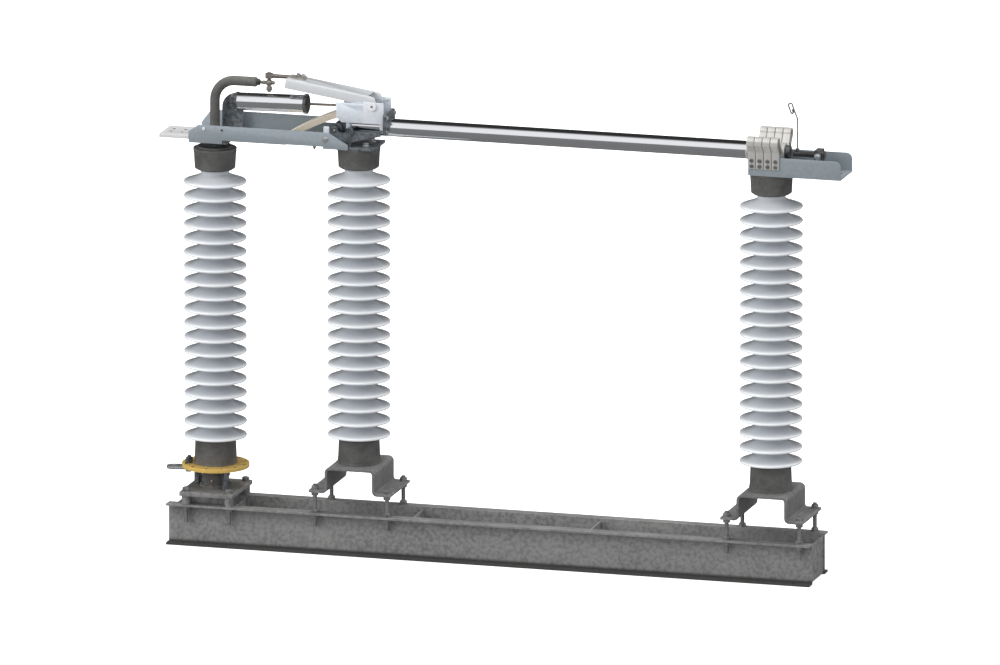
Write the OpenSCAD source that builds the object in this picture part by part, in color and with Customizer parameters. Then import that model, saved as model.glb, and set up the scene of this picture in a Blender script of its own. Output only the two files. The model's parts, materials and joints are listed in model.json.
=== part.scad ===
// Single-pole vertical-break disconnect switch on three porcelain station posts.
// The origin is the middle of the base's underside, +X runs from the hinge end to the jaw end,
// and +Z is up. The turning insulator drives the blade through a crank and a link.

/* [Base] */
// Width of the base over the channel flanges
base_width = 300; // [260:1:400]
// Depth of the two base channels
channel_depth = 178; // [140:1:230]
// Width of each channel flange, web included
channel_flange = 53; // [48:1:70]
// Thickness of the channel webs
channel_web = 5.5; // [4:0.5:10]
// Thickness of the channel flanges
flange_t = 9; // [6:0.5:14]
// Base length beyond the turning insulator
left_overhang = 178; // [160:1:260]
// Base length beyond the jaw insulator
right_overhang = 210; // [200:1:300]
// Distance of the mounting holes from each end of the base
mount_inset = 75; // [50:1:110]
// Diameter of the mounting holes in the bottom flanges
mount_hole_d = 22; // [14:1:28]

/* [Insulators] */
// Spacing of the turning insulator and the hinge insulator
hinge_gap = 635; // [600:1:780]
// Spacing of the hinge insulator and the jaw insulator
jaw_gap = 1812; // [1400:1:2400]
// Height of each insulator over its metal caps
insulator_h = 1372; // [1000:1:1800]
// Number of sheds on each insulator
shed_count = 19; // [10:1:24]
// Diameter over the sheds
shed_d = 267; // [230:1:330]
// Diameter of the porcelain core
core_d = 120; // [100:1:135]
// Outer diameter of the metal caps at their mounting face
cap_d = 185; // [175:1:205]
// Diameter of the metal caps at the porcelain
cap_neck_d = 168; // [155:1:175]
// Height of the lower metal caps
cap_h = 109; // [80:1:112]
// Height of the upper metal caps
top_cap_h = 93; // [80:1:112]
// Bolt circle of the cap bolts
cap_pcd = 127; // [115:1:140]

/* [Pedestals] */
// Width of a pedestal's raised top
pedestal_top_w = 220; // [206:1:260]
// Width over a pedestal's two feet
pedestal_foot_w = 362; // [350:1:420]
// Thickness of the bent pedestal plate
pedestal_t = 11; // [8:0.5:16]
// Clear height between channel and pedestal foot
pedestal_gap = 90; // [70:1:130]
// Rise of the pedestal top above its feet
pedestal_rise = 113; // [90:1:150]
// Diameter of the levelling studs
stud_d = 18; // [12:1:22]

/* [Turning insulator drive] */
// Width of the bearing plate
bearing_plate_w = 236; // [226:1:270]
// Thickness of the bearing plate
bearing_plate_t = 18; // [12:1:24]
// Height of the spacers under the bearing plate
spacer_h = 38; // [30:1:60]
// Height of the bearing housing
housing_h = 66; // [56:1:90]
// Diameter of the bearing housing
housing_d = 109; // [96:1:125]
// Diameter of the turning disc
disc_d = 288; // [270:1:330]
// Thickness of the turning disc
disc_t = 16; // [10:1:24]
// Reach of the operating lever from the turning axis
lever_reach = 210; // [190:1:280]
// Direction of the operating lever when the switch is closed
lever_angle = 192; // [180:1:205]
// Reach of the crank from the turning axis to its ball pin
crank_reach = 240; // [225:1:260]
// Diameter of the crank pipe
pipe_d = 42; // [34:1:48]
// Bend radius of the crank pipe
pipe_bend_r = 88; // [70:1:100]

/* [Live parts] */
// Height of the blade axis above the caps of the hinge and jaw insulators
blade_rise = 89; // [86:1:110]
// Diameter of the blade tube
blade_d = 76; // [60:1:78]
// Distance of the hinge pin from the hinge insulator, toward the crank
hinge_back = 83; // [70:1:95]
// Width of the hinge frame and the space for the terminal bar
frame_w = 200; // [190:1:230]
// Width of the jaw channel
jaw_w = 190; // [184:1:230]
// Length of the jaw channel
jaw_len = 404; // [380:1:480]
// Width of one contact finger
finger_w = 32; // [20:1:33]
// Width of the flat terminals
terminal_w = 165; // [120:1:170]
// Thickness of the terminal bar
terminal_t = 16; // [10:1:18]
// Diameter of the four holes in each terminal
terminal_hole_d = 14; // [10:1:18]
// Spacing of the terminal holes
terminal_pitch = 50; // [38:1:60]
// Diameter of the counterbalance spring tube
spring_d = 76; // [60:1:80]

/* [Hidden] */
$fn = 96;
e = 0.01;
running_fit = 0.08; // radial clearance of a pin that turns in its bore
seat_gap = 0.3; // clearance between round faces that stay together

// --- places along the base ---
base_len = left_overhang + hinge_gap + jaw_gap + right_overhang;
rotor_x = -base_len / 2 + left_overhang;
web_y = base_width / 2 - channel_flange; // inner face of each web
flange_bolt_y = base_width / 2 - 25;

// --- heights ---
plate_z = channel_depth + spacer_h;
housing_z = plate_z + bearing_plate_t;
hub_h = 21;
disc_z = housing_z + housing_h + hub_h;
rotor_stack_z = disc_z + disc_t;
pedestal_foot_z = channel_depth + pedestal_gap;
post_stack_z = pedestal_foot_z + pedestal_rise;
rotor_top_z = rotor_stack_z + insulator_h;
post_top_z = post_stack_z + insulator_h;

// --- studs of the pedestals and bearing plate ---
pedestal_bolt_x = pedestal_foot_w / 2 - 22;
bearing_bolt_x = bearing_plate_w / 2 - 23;
stud_hole_d = stud_d + 2;
nut_h = 15;

// --- live parts, measured from the turning axis ---
blade_z = post_top_z + blade_rise;
hinge_z = blade_z - 9;
hinge_x = hinge_gap - hinge_back;
frame_t = 6;
wall_y = frame_w / 2 - frame_t; // inner face of each frame wall
wall_top_z = post_top_z + 71;
wall_bottom_z = post_top_z + 9;
bar_z = post_top_z + 3;
bar_top_z = bar_z + terminal_t;
foot_plate_top_z = post_top_z + 12;
frame_end_x = hinge_gap - 20;
pin_d = 20;

// --- mechanism box, link and spring, measured from the hinge pin ---
box_len = 210;
box_half_w = 60;
box_t = 5;
box_bottom = 23; // above the blade axis
box_top = 108;
link_pin_x = 160;
link_pin_z = 99; // above the blade axis
link_slope = 8.3;
link_half_w = 52;
link_t = 5;
link_eye_z = blade_z + 191;
crank_z = blade_z + 161;
spring_pin_x = 88;
spring_pin_z = 84; // above the blade axis
spring_foot_x = 80; // from the turning axis
spring_foot_z = blade_z + 72;
spring_len = 316;
spring_start = 14; // from its pivot to the tube's end
spring_slope = atan2(blade_z + spring_pin_z - spring_foot_z, hinge_x + spring_pin_x - spring_foot_x);

// --- jaw, measured from the jaw insulator ---
jaw_start = -77;
jaw_t = 6;
jaw_side_h = 82;
finger_pitch = 34.7;
finger_count = 4;
finger_t = 6;
finger_gap = 2; // between the blade contact and the fingers
contact_d = blade_d + 3;
blade_end = 83; // end of the blade past the jaw insulator's axis

// ---------- places ----------
module at_rotor() translate([rotor_x, 0, 0]) children();
module at_hinge_post() translate([rotor_x + hinge_gap, 0, 0]) children();
module at_jaw_post() translate([rotor_x + hinge_gap + jaw_gap, 0, 0]) children();
module at_hinge() translate([rotor_x + hinge_x, 0, 0]) children();
module four_corners(x, y) for (sx = [-1, 1], sy = [-1, 1]) translate([sx * x, sy * y, 0]) children();
module both_sides() for (s = [0, 1]) mirror([0, s, 0]) children();

// ---------- small shapes ----------
module rod_x(d, l) rotate([0, 90, 0]) cylinder(d = d, h = l);
module rod_y(d, l) rotate([90, 0, 0]) cylinder(d = d, h = l, center = true);
module hexagon(across_flats, h) cylinder(d = across_flats / cos(30), h = h, $fn = 6);
// A plate whose outline is drawn in X and Z, with its near face at y
module upright(y, t) translate([0, y + t, 0]) rotate([90, 0, 0]) linear_extrude(t) children();
// A plate whose outline is drawn in Y and Z, with its near face at x
module crosswise(x, t) translate([x, 0, 0]) rotate([90, 0, 90]) linear_extrude(t) children();
// A quarter ring about the origin, of the outline's upper right quarter
module quarter_ring(r_out, t) intersection() {
    difference() {
        circle(r = r_out);
        circle(r = r_out - t);
    }
    square(r_out + 1);
}

// ---------- base ----------
module flange_holes(z) {
    at_rotor() for (s = [-1, 1]) translate([s * bearing_bolt_x, flange_bolt_y, z])
        cylinder(d = stud_hole_d, h = flange_t + 2);
    at_hinge_post() for (s = [-1, 1]) translate([s * pedestal_bolt_x, flange_bolt_y, z])
        cylinder(d = stud_hole_d, h = flange_t + 2);
    at_jaw_post() for (s = [-1, 1]) translate([s * pedestal_bolt_x, flange_bolt_y, z])
        cylinder(d = stud_hole_d, h = flange_t + 2);
}

module channel() difference() {
    translate([-base_len / 2, 0, 0]) union() {
        translate([0, web_y, 0]) cube([base_len, channel_web, channel_depth]);
        for (z = [0, channel_depth - flange_t])
            translate([0, web_y, z]) cube([base_len, channel_flange, flange_t]);
    }
    flange_holes(channel_depth - flange_t - 1);
    for (s = [-1, 1]) translate([s * (base_len / 2 - mount_inset), flange_bolt_y, -1])
        cylinder(d = mount_hole_d, h = flange_t + 2);
}

module front_channel() color("#5f6468") mirror([0, 1, 0]) channel();
module rear_channel() color("#5f6468") channel();

module base_cross_plates() color("#666b6f") {
    plate_t = 8;
    places = [
        -base_len / 2 + 24, rotor_x + 100, rotor_x + hinge_gap + pedestal_foot_w / 2 + 70,
        rotor_x + hinge_gap + jaw_gap * 0.57, base_len / 2 - 14
    ];
    for (x = places) translate([x, -web_y, 6]) cube([plate_t, 2 * web_y, channel_depth - 18]);
}

// ---------- pedestals ----------
// Half of the bent plate's outline: foot, bend, leg, bend, top
module pedestal_half() {
    r = 2 * pedestal_t;
    leg_x = pedestal_top_w / 2;
    translate([leg_x + r - pedestal_t, 0]) square([pedestal_foot_w / 2 - leg_x - r + pedestal_t, pedestal_t]);
    translate([leg_x + r - pedestal_t, r]) rotate(180) quarter_ring(r, pedestal_t);
    translate([leg_x - pedestal_t, r]) square([pedestal_t, pedestal_rise - 2 * r]);
    translate([leg_x - r, pedestal_rise - r]) quarter_ring(r, pedestal_t);
    translate([-1, pedestal_rise - pedestal_t]) square([leg_x - r + 1, pedestal_t]);
}

module pedestal() color("#6b7074") difference() {
    translate([0, 0, pedestal_foot_z]) upright(-base_width / 2, base_width) {
        pedestal_half();
        mirror([1, 0]) pedestal_half();
    }
    translate([0, 0, pedestal_foot_z - 1]) four_corners(pedestal_bolt_x, flange_bolt_y)
        cylinder(d = stud_hole_d, h = pedestal_t + 2);
    translate([0, 0, post_stack_z - pedestal_t - 1]) {
        for (a = [45:90:315]) rotate(a) translate([cap_pcd / 2, 0, 0])
            cylinder(d = 18, h = pedestal_t + 2);
        cylinder(d = 60, h = pedestal_t + 2);
    }
}

// A levelling stud with its nuts above and below the flange and the foot
module levelling_stud() {
    translate([0, 0, channel_depth - flange_t - 50])
        cylinder(d = stud_d, h = pedestal_gap + flange_t + pedestal_t + 50 + nut_h + 8);
    across = stud_d * 1.55;
    for (z = [channel_depth - flange_t - nut_h, channel_depth, pedestal_foot_z - nut_h, pedestal_foot_z + pedestal_t])
        translate([0, 0, z]) hexagon(across, nut_h);
}

module pedestal_bolts() color("#8a8e91") four_corners(pedestal_bolt_x, flange_bolt_y) levelling_stud();

module hinge_pedestal() at_hinge_post() pedestal();
module hinge_pedestal_bolts() at_hinge_post() pedestal_bolts();
module jaw_pedestal() at_jaw_post() pedestal();
module jaw_pedestal_bolts() at_jaw_post() pedestal_bolts();

// ---------- insulators ----------
cap_pocket_d = core_d + 6;
cap_floor_t = 22;

// A metal cap standing on its mounting face, with the pocket that holds the porcelain
module cap(h = cap_h) color("#5d6164") rotate_extrude() polygon([
    [0, 0], [cap_d / 2, 0], [cap_d / 2, 14], [cap_neck_d / 2 + 3, h - 12],
    [cap_neck_d / 2, h - 5], [cap_neck_d / 2 - 6, h], [cap_pocket_d / 2, h],
    [cap_pocket_d / 2, cap_floor_t], [0, cap_floor_t]
]);

// The outline of one shed at height z: a thick rounded rim, a sloping roof and a drip edge
function shed_outline(z) = let(r = shed_d / 2, c = core_d / 2) [
    [c, z + 7], [r - 14, z + 3], [r - 10, z], [r - 3, z], [r, z + 4], [r, z + 12], [r - 5, z + 17],
    [c + 12, z + 35], [c, z + 42]
];

module porcelain() color("#d9dcdc") {
    first_shed = 115;
    last_shed = 154;
    pitch = (insulator_h - first_shed - last_shed) / (shed_count - 1);
    foot = cap_floor_t;
    collar_d = cap_pocket_d - 2 * seat_gap;
    sheds = [for (i = [0:shed_count - 1]) each shed_outline(first_shed + i * pitch)];
    rotate_extrude() polygon(concat(
        [[0, foot], [collar_d / 2, foot], [collar_d / 2, cap_h - 4], [core_d / 2, cap_h + 2]], sheds,
        [[core_d / 2, insulator_h - top_cap_h - 2], [collar_d / 2, insulator_h - top_cap_h + 4],
         [collar_d / 2, insulator_h - foot], [0, insulator_h - foot]]
    ));
}

module top_cap() translate([0, 0, insulator_h]) mirror([0, 0, 1]) cap(top_cap_h);

module rotor_base_cap() at_rotor() translate([0, 0, rotor_stack_z]) cap();
module rotor_porcelain() at_rotor() translate([0, 0, rotor_stack_z]) porcelain();
module rotor_top_cap() at_rotor() translate([0, 0, rotor_stack_z]) top_cap();
module hinge_base_cap() at_hinge_post() translate([0, 0, post_stack_z]) cap();
module hinge_porcelain() at_hinge_post() translate([0, 0, post_stack_z]) porcelain();
module hinge_top_cap() at_hinge_post() translate([0, 0, post_stack_z]) top_cap();
module jaw_base_cap() at_jaw_post() translate([0, 0, post_stack_z]) cap();
module jaw_porcelain() at_jaw_post() translate([0, 0, post_stack_z]) porcelain();
module jaw_top_cap() at_jaw_post() translate([0, 0, post_stack_z]) top_cap();

// ---------- bearing under the turning insulator ----------
shaft_d = 52;
shaft_depth = 48;
lever_t = 12;
lever_w = 62;

module bearing_plate() color("#62676b") at_rotor() difference() {
    translate([-bearing_plate_w / 2, -base_width / 2, plate_z])
        cube([bearing_plate_w, base_width, bearing_plate_t]);
    translate([0, 0, plate_z - 1]) four_corners(bearing_bolt_x, flange_bolt_y)
        cylinder(d = stud_hole_d, h = bearing_plate_t + 2);
}

module bearing_bolts() color("#7d8184") at_rotor() four_corners(bearing_bolt_x, flange_bolt_y) {
    across = stud_d * 1.55;
    translate([0, 0, channel_depth - flange_t - 72])
        cylinder(d = stud_d, h = 72 + flange_t + spacer_h + bearing_plate_t + nut_h + 4);
    translate([0, 0, channel_depth]) cylinder(d = 38, h = spacer_h);
    for (z = [channel_depth - flange_t - nut_h, housing_z]) translate([0, 0, z]) hexagon(across, nut_h);
}

module bearing_housing() color("#55595c") at_rotor() translate([0, 0, housing_z]) difference() {
    union() {
        cylinder(d = housing_d, h = housing_h);
        cylinder(d = housing_d + 26, h = 12);
    }
    translate([0, 0, housing_h - shaft_depth - 4])
        cylinder(d = shaft_d + 2 * running_fit, h = shaft_depth + 5);
}

// Two blocks that the lever meets at the ends of its turn, each with a stop screw
module turn_stops() color("#4b4f52") at_rotor() for (side = [-1, 1]) {
    block_angle = lever_angle + (side < 0 ? -34 : 120);
    rotate(block_angle) translate([96, 0, housing_z]) {
        translate([-12, -12, 0]) cube([24, 24, housing_h + hub_h - 5]);
        translate([0, 0, housing_h + hub_h - 17]) rod_y(14, 38);
    }
}

module turning_disc() color("#b39a4e") at_rotor() {
    translate([0, 0, disc_z]) difference() {
        cylinder(d = disc_d, h = disc_t);
        for (a = [15:30:345]) rotate(lever_angle + a) translate([disc_d / 2 - 17, 0, -1])
            cylinder(d = 14, h = disc_t + 2);
        rotate(lever_angle) for (y = [-18, 18]) translate([disc_d / 2 - 30, y, -1])
            cylinder(d = 17, h = disc_t + 2);
    }
    translate([0, 0, disc_z - hub_h + seat_gap]) cylinder(d = 90, h = hub_h - seat_gap + e);
    translate([0, 0, disc_z - hub_h - shaft_depth]) cylinder(d = shaft_d, h = shaft_depth + hub_h);
}

module operating_lever() color("#b9bdc0") at_rotor() rotate(lever_angle) translate([0, 0, disc_z - lever_t]) {
    difference() {
        union() {
            translate([52, -lever_w / 2, 0]) cube([lever_reach - 52 - lever_w / 2, lever_w, lever_t]);
            translate([lever_reach - lever_w / 2, 0, 0]) cylinder(d = lever_w, h = lever_t);
        }
        translate([lever_reach - lever_w / 2, 0, -1]) cylinder(d = 20, h = lever_t + 2);
    }
    for (y = [-18, 18]) translate([disc_d / 2 - 30, y, 0]) {
        cylinder(d = 16, h = lever_t + disc_t + 12);
        translate([0, 0, lever_t + disc_t]) hexagon(24, 10);
        translate([0, 0, -10]) hexagon(24, 10);
    }
}

// ---------- crank on top of the turning insulator ----------
crank_hub_d = 66;
crank_hub_top_z = bar_top_z + 8;
pipe_end_x = crank_reach - 52;

module crank_pipe() color("#5c6063") at_rotor() {
    translate([0, 0, rotor_top_z]) cylinder(d = 150, h = 8);
    translate([0, 0, rotor_top_z]) cylinder(d = crank_hub_d, h = crank_hub_top_z - rotor_top_z);
    translate([0, 0, crank_hub_top_z]) cylinder(d = pipe_d, h = crank_z - pipe_bend_r - crank_hub_top_z);
    translate([pipe_bend_r, 0, crank_z - pipe_bend_r]) mirror([1, 0, 0]) rotate([90, 0, 0])
        rotate_extrude(angle = 90) translate([pipe_bend_r, 0]) circle(d = pipe_d);
    translate([pipe_bend_r, 0, crank_z]) rod_x(pipe_d, pipe_end_x - pipe_bend_r - 5);
    translate([pipe_end_x - 5, 0, crank_z]) rotate([0, 90, 0]) cylinder(d1 = pipe_d, d2 = pipe_d - 10, h = 5);
}

pin_split_z = (crank_z + link_eye_z) / 2 + 1; // where the ball pin is divided between crank and link
pin_split_gap = 1; // clearance of each half of the ball pin from the division
ball_pin_d = 16;

module crank_pin() color("#8d8a80") at_rotor() {
    translate([pipe_end_x, 0, crank_z]) rod_x(14, crank_reach - pipe_end_x);
    translate([pipe_end_x, 0, crank_z]) rotate([0, 90, 0]) hexagon(24, 12);
    translate([crank_reach, 0, crank_z]) sphere(d = 30);
    translate([crank_reach + 10, 0, crank_z]) rod_x(16, 14);
    translate([crank_reach, 0, crank_z - 40]) cylinder(d = ball_pin_d, h = pin_split_z - pin_split_gap - crank_z + 40);
    translate([crank_reach, 0, crank_z - 38]) hexagon(23, 18);
}

// ---------- hinge end ----------
// The frame wall's outline, with its stepped lower edge and cut corners
module wall_outline(top_z, end_z) polygon([
    [-88, post_top_z - 7], [-88, post_top_z + 40], [-45, top_z], [frame_end_x - 185, top_z],
    [frame_end_x - 185, end_z], [frame_end_x - 85, end_z], [frame_end_x, post_top_z + 22],
    [frame_end_x, post_top_z], [frame_end_x - 110, post_top_z], [frame_end_x - 110, wall_bottom_z],
    [60, wall_bottom_z], [60, post_top_z - 7]
]);

module hinge_frame() color("#86909a") at_rotor() {
    upright(-frame_w / 2, frame_t) wall_outline(wall_top_z, wall_top_z);
    upright(wall_y, frame_t) wall_outline(wall_top_z + 25, wall_top_z);
}

module top_bearing() color("#4e5254") at_rotor() difference() {
    union() {
        translate([-80, -wall_y, bar_z - 12]) cube([160, 2 * wall_y, 12]);
        translate([0, 0, bar_z - 36]) cylinder(d = 104, h = 30);
    }
    translate([0, 0, bar_z - 37]) cylinder(d = crank_hub_d + 2 * running_fit, h = 38);
}

module frame_foot_plate() color("#565b5e") at_rotor() difference() {
    translate([frame_end_x - 110, -wall_y, post_top_z])
        cube([110 + 20 + cap_d / 2 - 2, 2 * wall_y, foot_plate_top_z - post_top_z]);
    translate([hinge_gap, 0, post_top_z - 1]) for (a = [45:90:315]) rotate(a)
        translate([cap_pcd / 2, 0, 0]) cylinder(d = 18, h = 14);
}

module terminal_holes(x, z, t) for (dx = [-1, 1], dy = [-1, 1])
    translate([x + dx * terminal_pitch / 2, dy * terminal_pitch / 2, z - 1])
        cylinder(d = terminal_hole_d, h = t + 2);

bar_start_x = -223;
strap_x = hinge_x - 265; // where the strap's upper face leaves the bar

module terminal_bar() color("#c3c8cc") at_rotor() difference() {
    translate([bar_start_x, -terminal_w / 2, bar_z]) cube([strap_x + 50 - bar_start_x, terminal_w, terminal_t]);
    terminal_holes(bar_start_x + 61, bar_z, terminal_t);
    translate([0, 0, bar_z - 1]) cylinder(d = crank_hub_d + 12, h = terminal_t + 2);
}

// The laminated strap that bends from the terminal bar up to the blade's mechanism box
module conductor_strap() color("#d8cdb4") at_rotor() {
    strap_r = 1300;
    strap_t = 25;
    start_slope = 33.5;
    strap_end_x = hinge_x + 14;
    upright(-50, 100) intersection() {
        translate([strap_x + strap_r * sin(start_slope), bar_top_z - strap_r * cos(start_slope)]) difference() {
            circle(r = strap_r, $fn = 200);
            circle(r = strap_r - strap_t, $fn = 200);
        }
        translate([strap_x - 10, bar_top_z]) square([strap_end_x - strap_x + 10, 200]);
    }
}

// Rear upright with a quarter-round corner, and the fork that holds the spring tube's pivot
module spring_bracket() color("#4a4e50") at_rotor() {
    rear_y = spring_d / 2 + 9;
    top_z = spring_foot_z + 24;
    upright(rear_y, 8) {
        translate([spring_foot_x, top_z - 62]) intersection() {
            circle(r = 62);
            translate([-62, 0]) square([62, 62]);
        }
        translate([spring_foot_x - 62, bar_top_z]) square([62, top_z - 62 - bar_top_z]);
        translate([spring_foot_x - e, bar_top_z]) square([30, top_z - bar_top_z - 30]);
    }
    translate([spring_foot_x - 40, -30, bar_top_z]) cube([70, rear_y + 32, 9]);
    for (z = [-21, 12]) translate([spring_foot_x, 0, spring_foot_z + z]) {
        cylinder(d = 26, h = 9);
        translate([-13, 0, 0]) cube([20, rear_y + 2, 9]);
    }
    translate([spring_foot_x, 0, spring_foot_z - 25]) cylinder(d = 12, h = 50);
}

cheek_y = 76; // inner face of each casting cheek
cheek_t = 12;
wing_len = box_len - 85;

// One cheek: two drilled ears with a saddle between them, and a long wing that closes in on the blade
module cheek() {
    wing_x = 73;
    difference() {
        upright(cheek_y, cheek_t) difference() {
            union() {
                translate([-18, foot_plate_top_z]) square([wing_x + 18, hinge_z - foot_plate_top_z]);
                for (x = [0, 67]) translate([x, hinge_z]) circle(r = 17);
            }
            translate([33.5, hinge_z + 14]) circle(r = 24);
        }
        translate([0, 0, hinge_z]) rod_y(pin_d + 2 * running_fit, 200);
        translate([67, 0, hinge_z]) rod_y(pin_d - 2, 200);
    }
    translate([wing_x, cheek_y, 0]) rotate(-11) upright(0, cheek_t) polygon([
        [-8, foot_plate_top_z + 20], [-8, hinge_z + 6], [30, hinge_z - 1], [wing_len, hinge_z - 6],
        [wing_len, hinge_z - 20]
    ]);
}

module hinge_casting() color("#4f5457") at_hinge() both_sides() cheek();

module hinge_pin() color("#2c2e30") at_hinge() translate([0, 0, hinge_z]) {
    rod_y(pin_d, 2 * (cheek_y + cheek_t) - 4);
    both_sides() translate([0, (cheek_y + yoke_half_w) / 2, 0])
        rod_y(pin_d + 6, cheek_y - yoke_half_w - 2 * seat_gap);
}

// ---------- blade ----------
yoke_half_w = 46;
journal_d = 40;
yoke_end = 36;
tube_start = 40;
saddle_t = 16;

module hinge_yoke() color("#505558") at_hinge() difference() {
    union() {
        translate([0, 0, hinge_z]) rod_y(48, 2 * yoke_half_w);
        translate([6, 0, blade_z]) rod_x(68, yoke_end - 6);
        translate([0, -34, hinge_z - 20]) cube([yoke_end, 68, 36]);
    }
    translate([0, 0, hinge_z]) rod_y(pin_d + 2 * running_fit, 120);
    translate([14, 0, blade_z]) rod_x(journal_d + 2 * running_fit, 60);
}

// Side plate of the mechanism box, with a clipped lower corner and holes for the link and the spring
module box_plate_outline() difference() {
    polygon([
        [24, blade_z + box_bottom], [box_len, blade_z + box_bottom], [box_len, blade_z + box_top],
        [0, blade_z + box_top], [0, blade_z + box_bottom + 20]
    ]);
    translate([link_pin_x, blade_z + link_pin_z]) circle(d = 14 + 2 * seat_gap);
    translate([link_pin_x + 36, blade_z + link_pin_z + 1]) circle(d = 10);
    translate([spring_pin_x, blade_z + spring_pin_z]) circle(d = 10 + 2 * seat_gap);
}

module box_saddle(x) crosswise(x, saddle_t) difference() {
    translate([-box_half_w + box_t, blade_z - 4]) square([2 * (box_half_w - box_t), 46]);
    translate([0, blade_z]) circle(d = blade_d + 2 * seat_gap);
}

module mechanism_box() color("#b4bbc3") at_hinge() {
    both_sides() upright(box_half_w - box_t, box_t) box_plate_outline();
    box_saddle(43);
    box_saddle(191);
    both_sides() {
        // stub pin of the link, and the boss that faces the spring rod's eye
        translate([link_pin_x, (link_half_w - link_t - 1 + box_half_w + 6) / 2, blade_z + link_pin_z])
            rod_y(14, box_half_w + 6 - link_half_w + link_t + 1);
        translate([link_pin_x, box_half_w + 3, blade_z + link_pin_z]) rod_y(36, 6);
        translate([spring_pin_x, (15 + box_half_w) / 2, blade_z + spring_pin_z]) rod_y(10, box_half_w - 15);
        translate([spring_pin_x, (15 + box_half_w - box_t) / 2, blade_z + spring_pin_z])
            rod_y(16, box_half_w - box_t - 15);
    }
}

blade_len = jaw_gap + hinge_back + blade_end;
contact_len = 168;

module blade_tube() color("#c9ccce") at_hinge() translate([0, 0, blade_z]) {
    difference() {
        translate([tube_start, 0, 0]) rod_x(blade_d, blade_len - tube_start - 32);
        translate([tube_start + 16, 0, 0]) rod_x(blade_d - 12, blade_len);
    }
    translate([15, 0, 0]) rod_x(journal_d, tube_start - 14);
}

module blade_clamp() color("#5a5f62") at_hinge() crosswise(box_len, 12) difference() {
    translate([0, blade_z]) polygon([
        [-62, -25], [62, -25], [75, -12], [75, 60], [66, 69], [-66, 69], [-75, 60], [-75, -12]
    ]);
    translate([0, blade_z]) circle(d = blade_d + 2 * seat_gap);
}

// The silvered sleeve that meets the fingers, and the dark plug that closes the tube
module blade_contact() color("#b9b6aa") at_hinge() translate([blade_len, 0, blade_z]) {
    difference() {
        translate([-contact_len - 20, 0, 0]) rod_x(contact_d, contact_len);
        translate([-contact_len - 21, 0, 0]) rod_x(blade_d + 2 * seat_gap, contact_len - 10);
    }
    translate([-20, 0, 0]) rod_x(blade_d - 16, 20);
}

// ---------- link ----------
link_len = 394;
rod_slot = 11;
block_start = 322; // the adjusting block on the channel's web
block_len = 42;

module at_link() at_hinge() translate([link_pin_x, 0, blade_z + link_pin_z]) children();

module link_side_outline() {
    circle(r = 17);
    polygon([
        [-12, 12], [-2, 34], [14, 38], [link_len, 38], [link_len, -3], [14, -3], [0, -16], [-12, -12]
    ]);
}

// Inverted U of bright sheet with a turned-down end wall; it is drawn toward the crank
module link_channel() color("#eef1f3") at_link() mirror([1, 0, 0]) rotate([0, -link_slope, 0]) difference() {
    union() {
        both_sides() upright(link_half_w - link_t, link_t) link_side_outline();
        translate([30, -link_half_w, 38 - link_t]) cube([link_len - 30, 2 * link_half_w, link_t]);
        translate([link_len - link_t, -link_half_w, -3]) cube([link_t, 2 * link_half_w, 41]);
    }
    rod_y(14 + 2 * running_fit, 200);
    translate([block_start + block_len - 4, -rod_slot, 14]) cube([60, 2 * rod_slot, 40]);
}

module link_rod() color("#8b8880") {
    at_rotor() translate([crank_reach, 0, 0]) {
        translate([0, 0, link_eye_z - 10]) cylinder(d = 34, h = 20);
        translate([0, 0, pin_split_z + pin_split_gap]) cylinder(d = ball_pin_d, h = link_eye_z + 14 - pin_split_z);
        translate([8, 0, link_eye_z]) rotate([0, 90, 0])
            cylinder(d1 = 19, d2 = 16, h = hinge_x + link_pin_x - block_start - block_len - crank_reach + 2);
    }
    at_link() mirror([1, 0, 0]) rotate([0, -link_slope, 0]) translate([block_start, -19, 38]) cube([block_len, 38, 14]);
}

// ---------- counterbalance spring ----------
module at_spring() at_rotor() translate([spring_foot_x, 0, spring_foot_z]) rotate([0, -spring_slope, 0]) children();

piston_d = spring_d - 12;
spring_rod_d = 11;
spring_rod_reach = norm([
    hinge_x + spring_pin_x - spring_foot_x, blade_z + spring_pin_z - spring_foot_z
]);

module spring_tube() color("#c9ccce") at_spring() {
    difference() {
        union() {
            translate([spring_start, 0, 0]) rod_x(spring_d, spring_len);
            for (x = [spring_start, spring_start + spring_len - 14]) translate([x, 0, 0]) rod_x(spring_d + 10, 14);
        }
        translate([spring_start + 12, 0, 0]) rod_x(piston_d + 2, spring_len - 24);
        translate([spring_start + spring_len - 20, 0, 0]) rod_x(spring_rod_d + 2, 30);
    }
    difference() {
        union() {
            translate([0, -12, -9]) cube([spring_start + 2, 24, 18]);
            translate([0, 0, -9]) cylinder(d = 24, h = 18);
        }
        translate([0, 0, -20]) cylinder(d = 13, h = 40);
    }
}

module spring_rod() color("#a7abae") at_spring() {
    eye_half_w = 9;
    translate([spring_start + spring_len - 50, 0, 0]) rod_x(spring_rod_d, spring_rod_reach - spring_start - spring_len + 50);
    translate([spring_start + spring_len - 60, 0, 0]) rod_x(piston_d, 16);
    translate([spring_rod_reach, 0, 0]) rod_y(20, 14);
    translate([spring_rod_reach, 0, 0]) rod_y(12, 2 * eye_half_w);
}

// ---------- jaw ----------
module jaw_side_outline() difference() {
    translate([jaw_start, post_top_z]) square([jaw_len, jaw_side_h]);
    translate([jaw_start + jaw_len - 25, post_top_z + jaw_side_h - 25]) difference() {
        square(26);
        circle(r = 25);
    }
    translate([jaw_start, post_top_z + jaw_side_h]) rotate(45) square(18, center = true);
}

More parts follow.
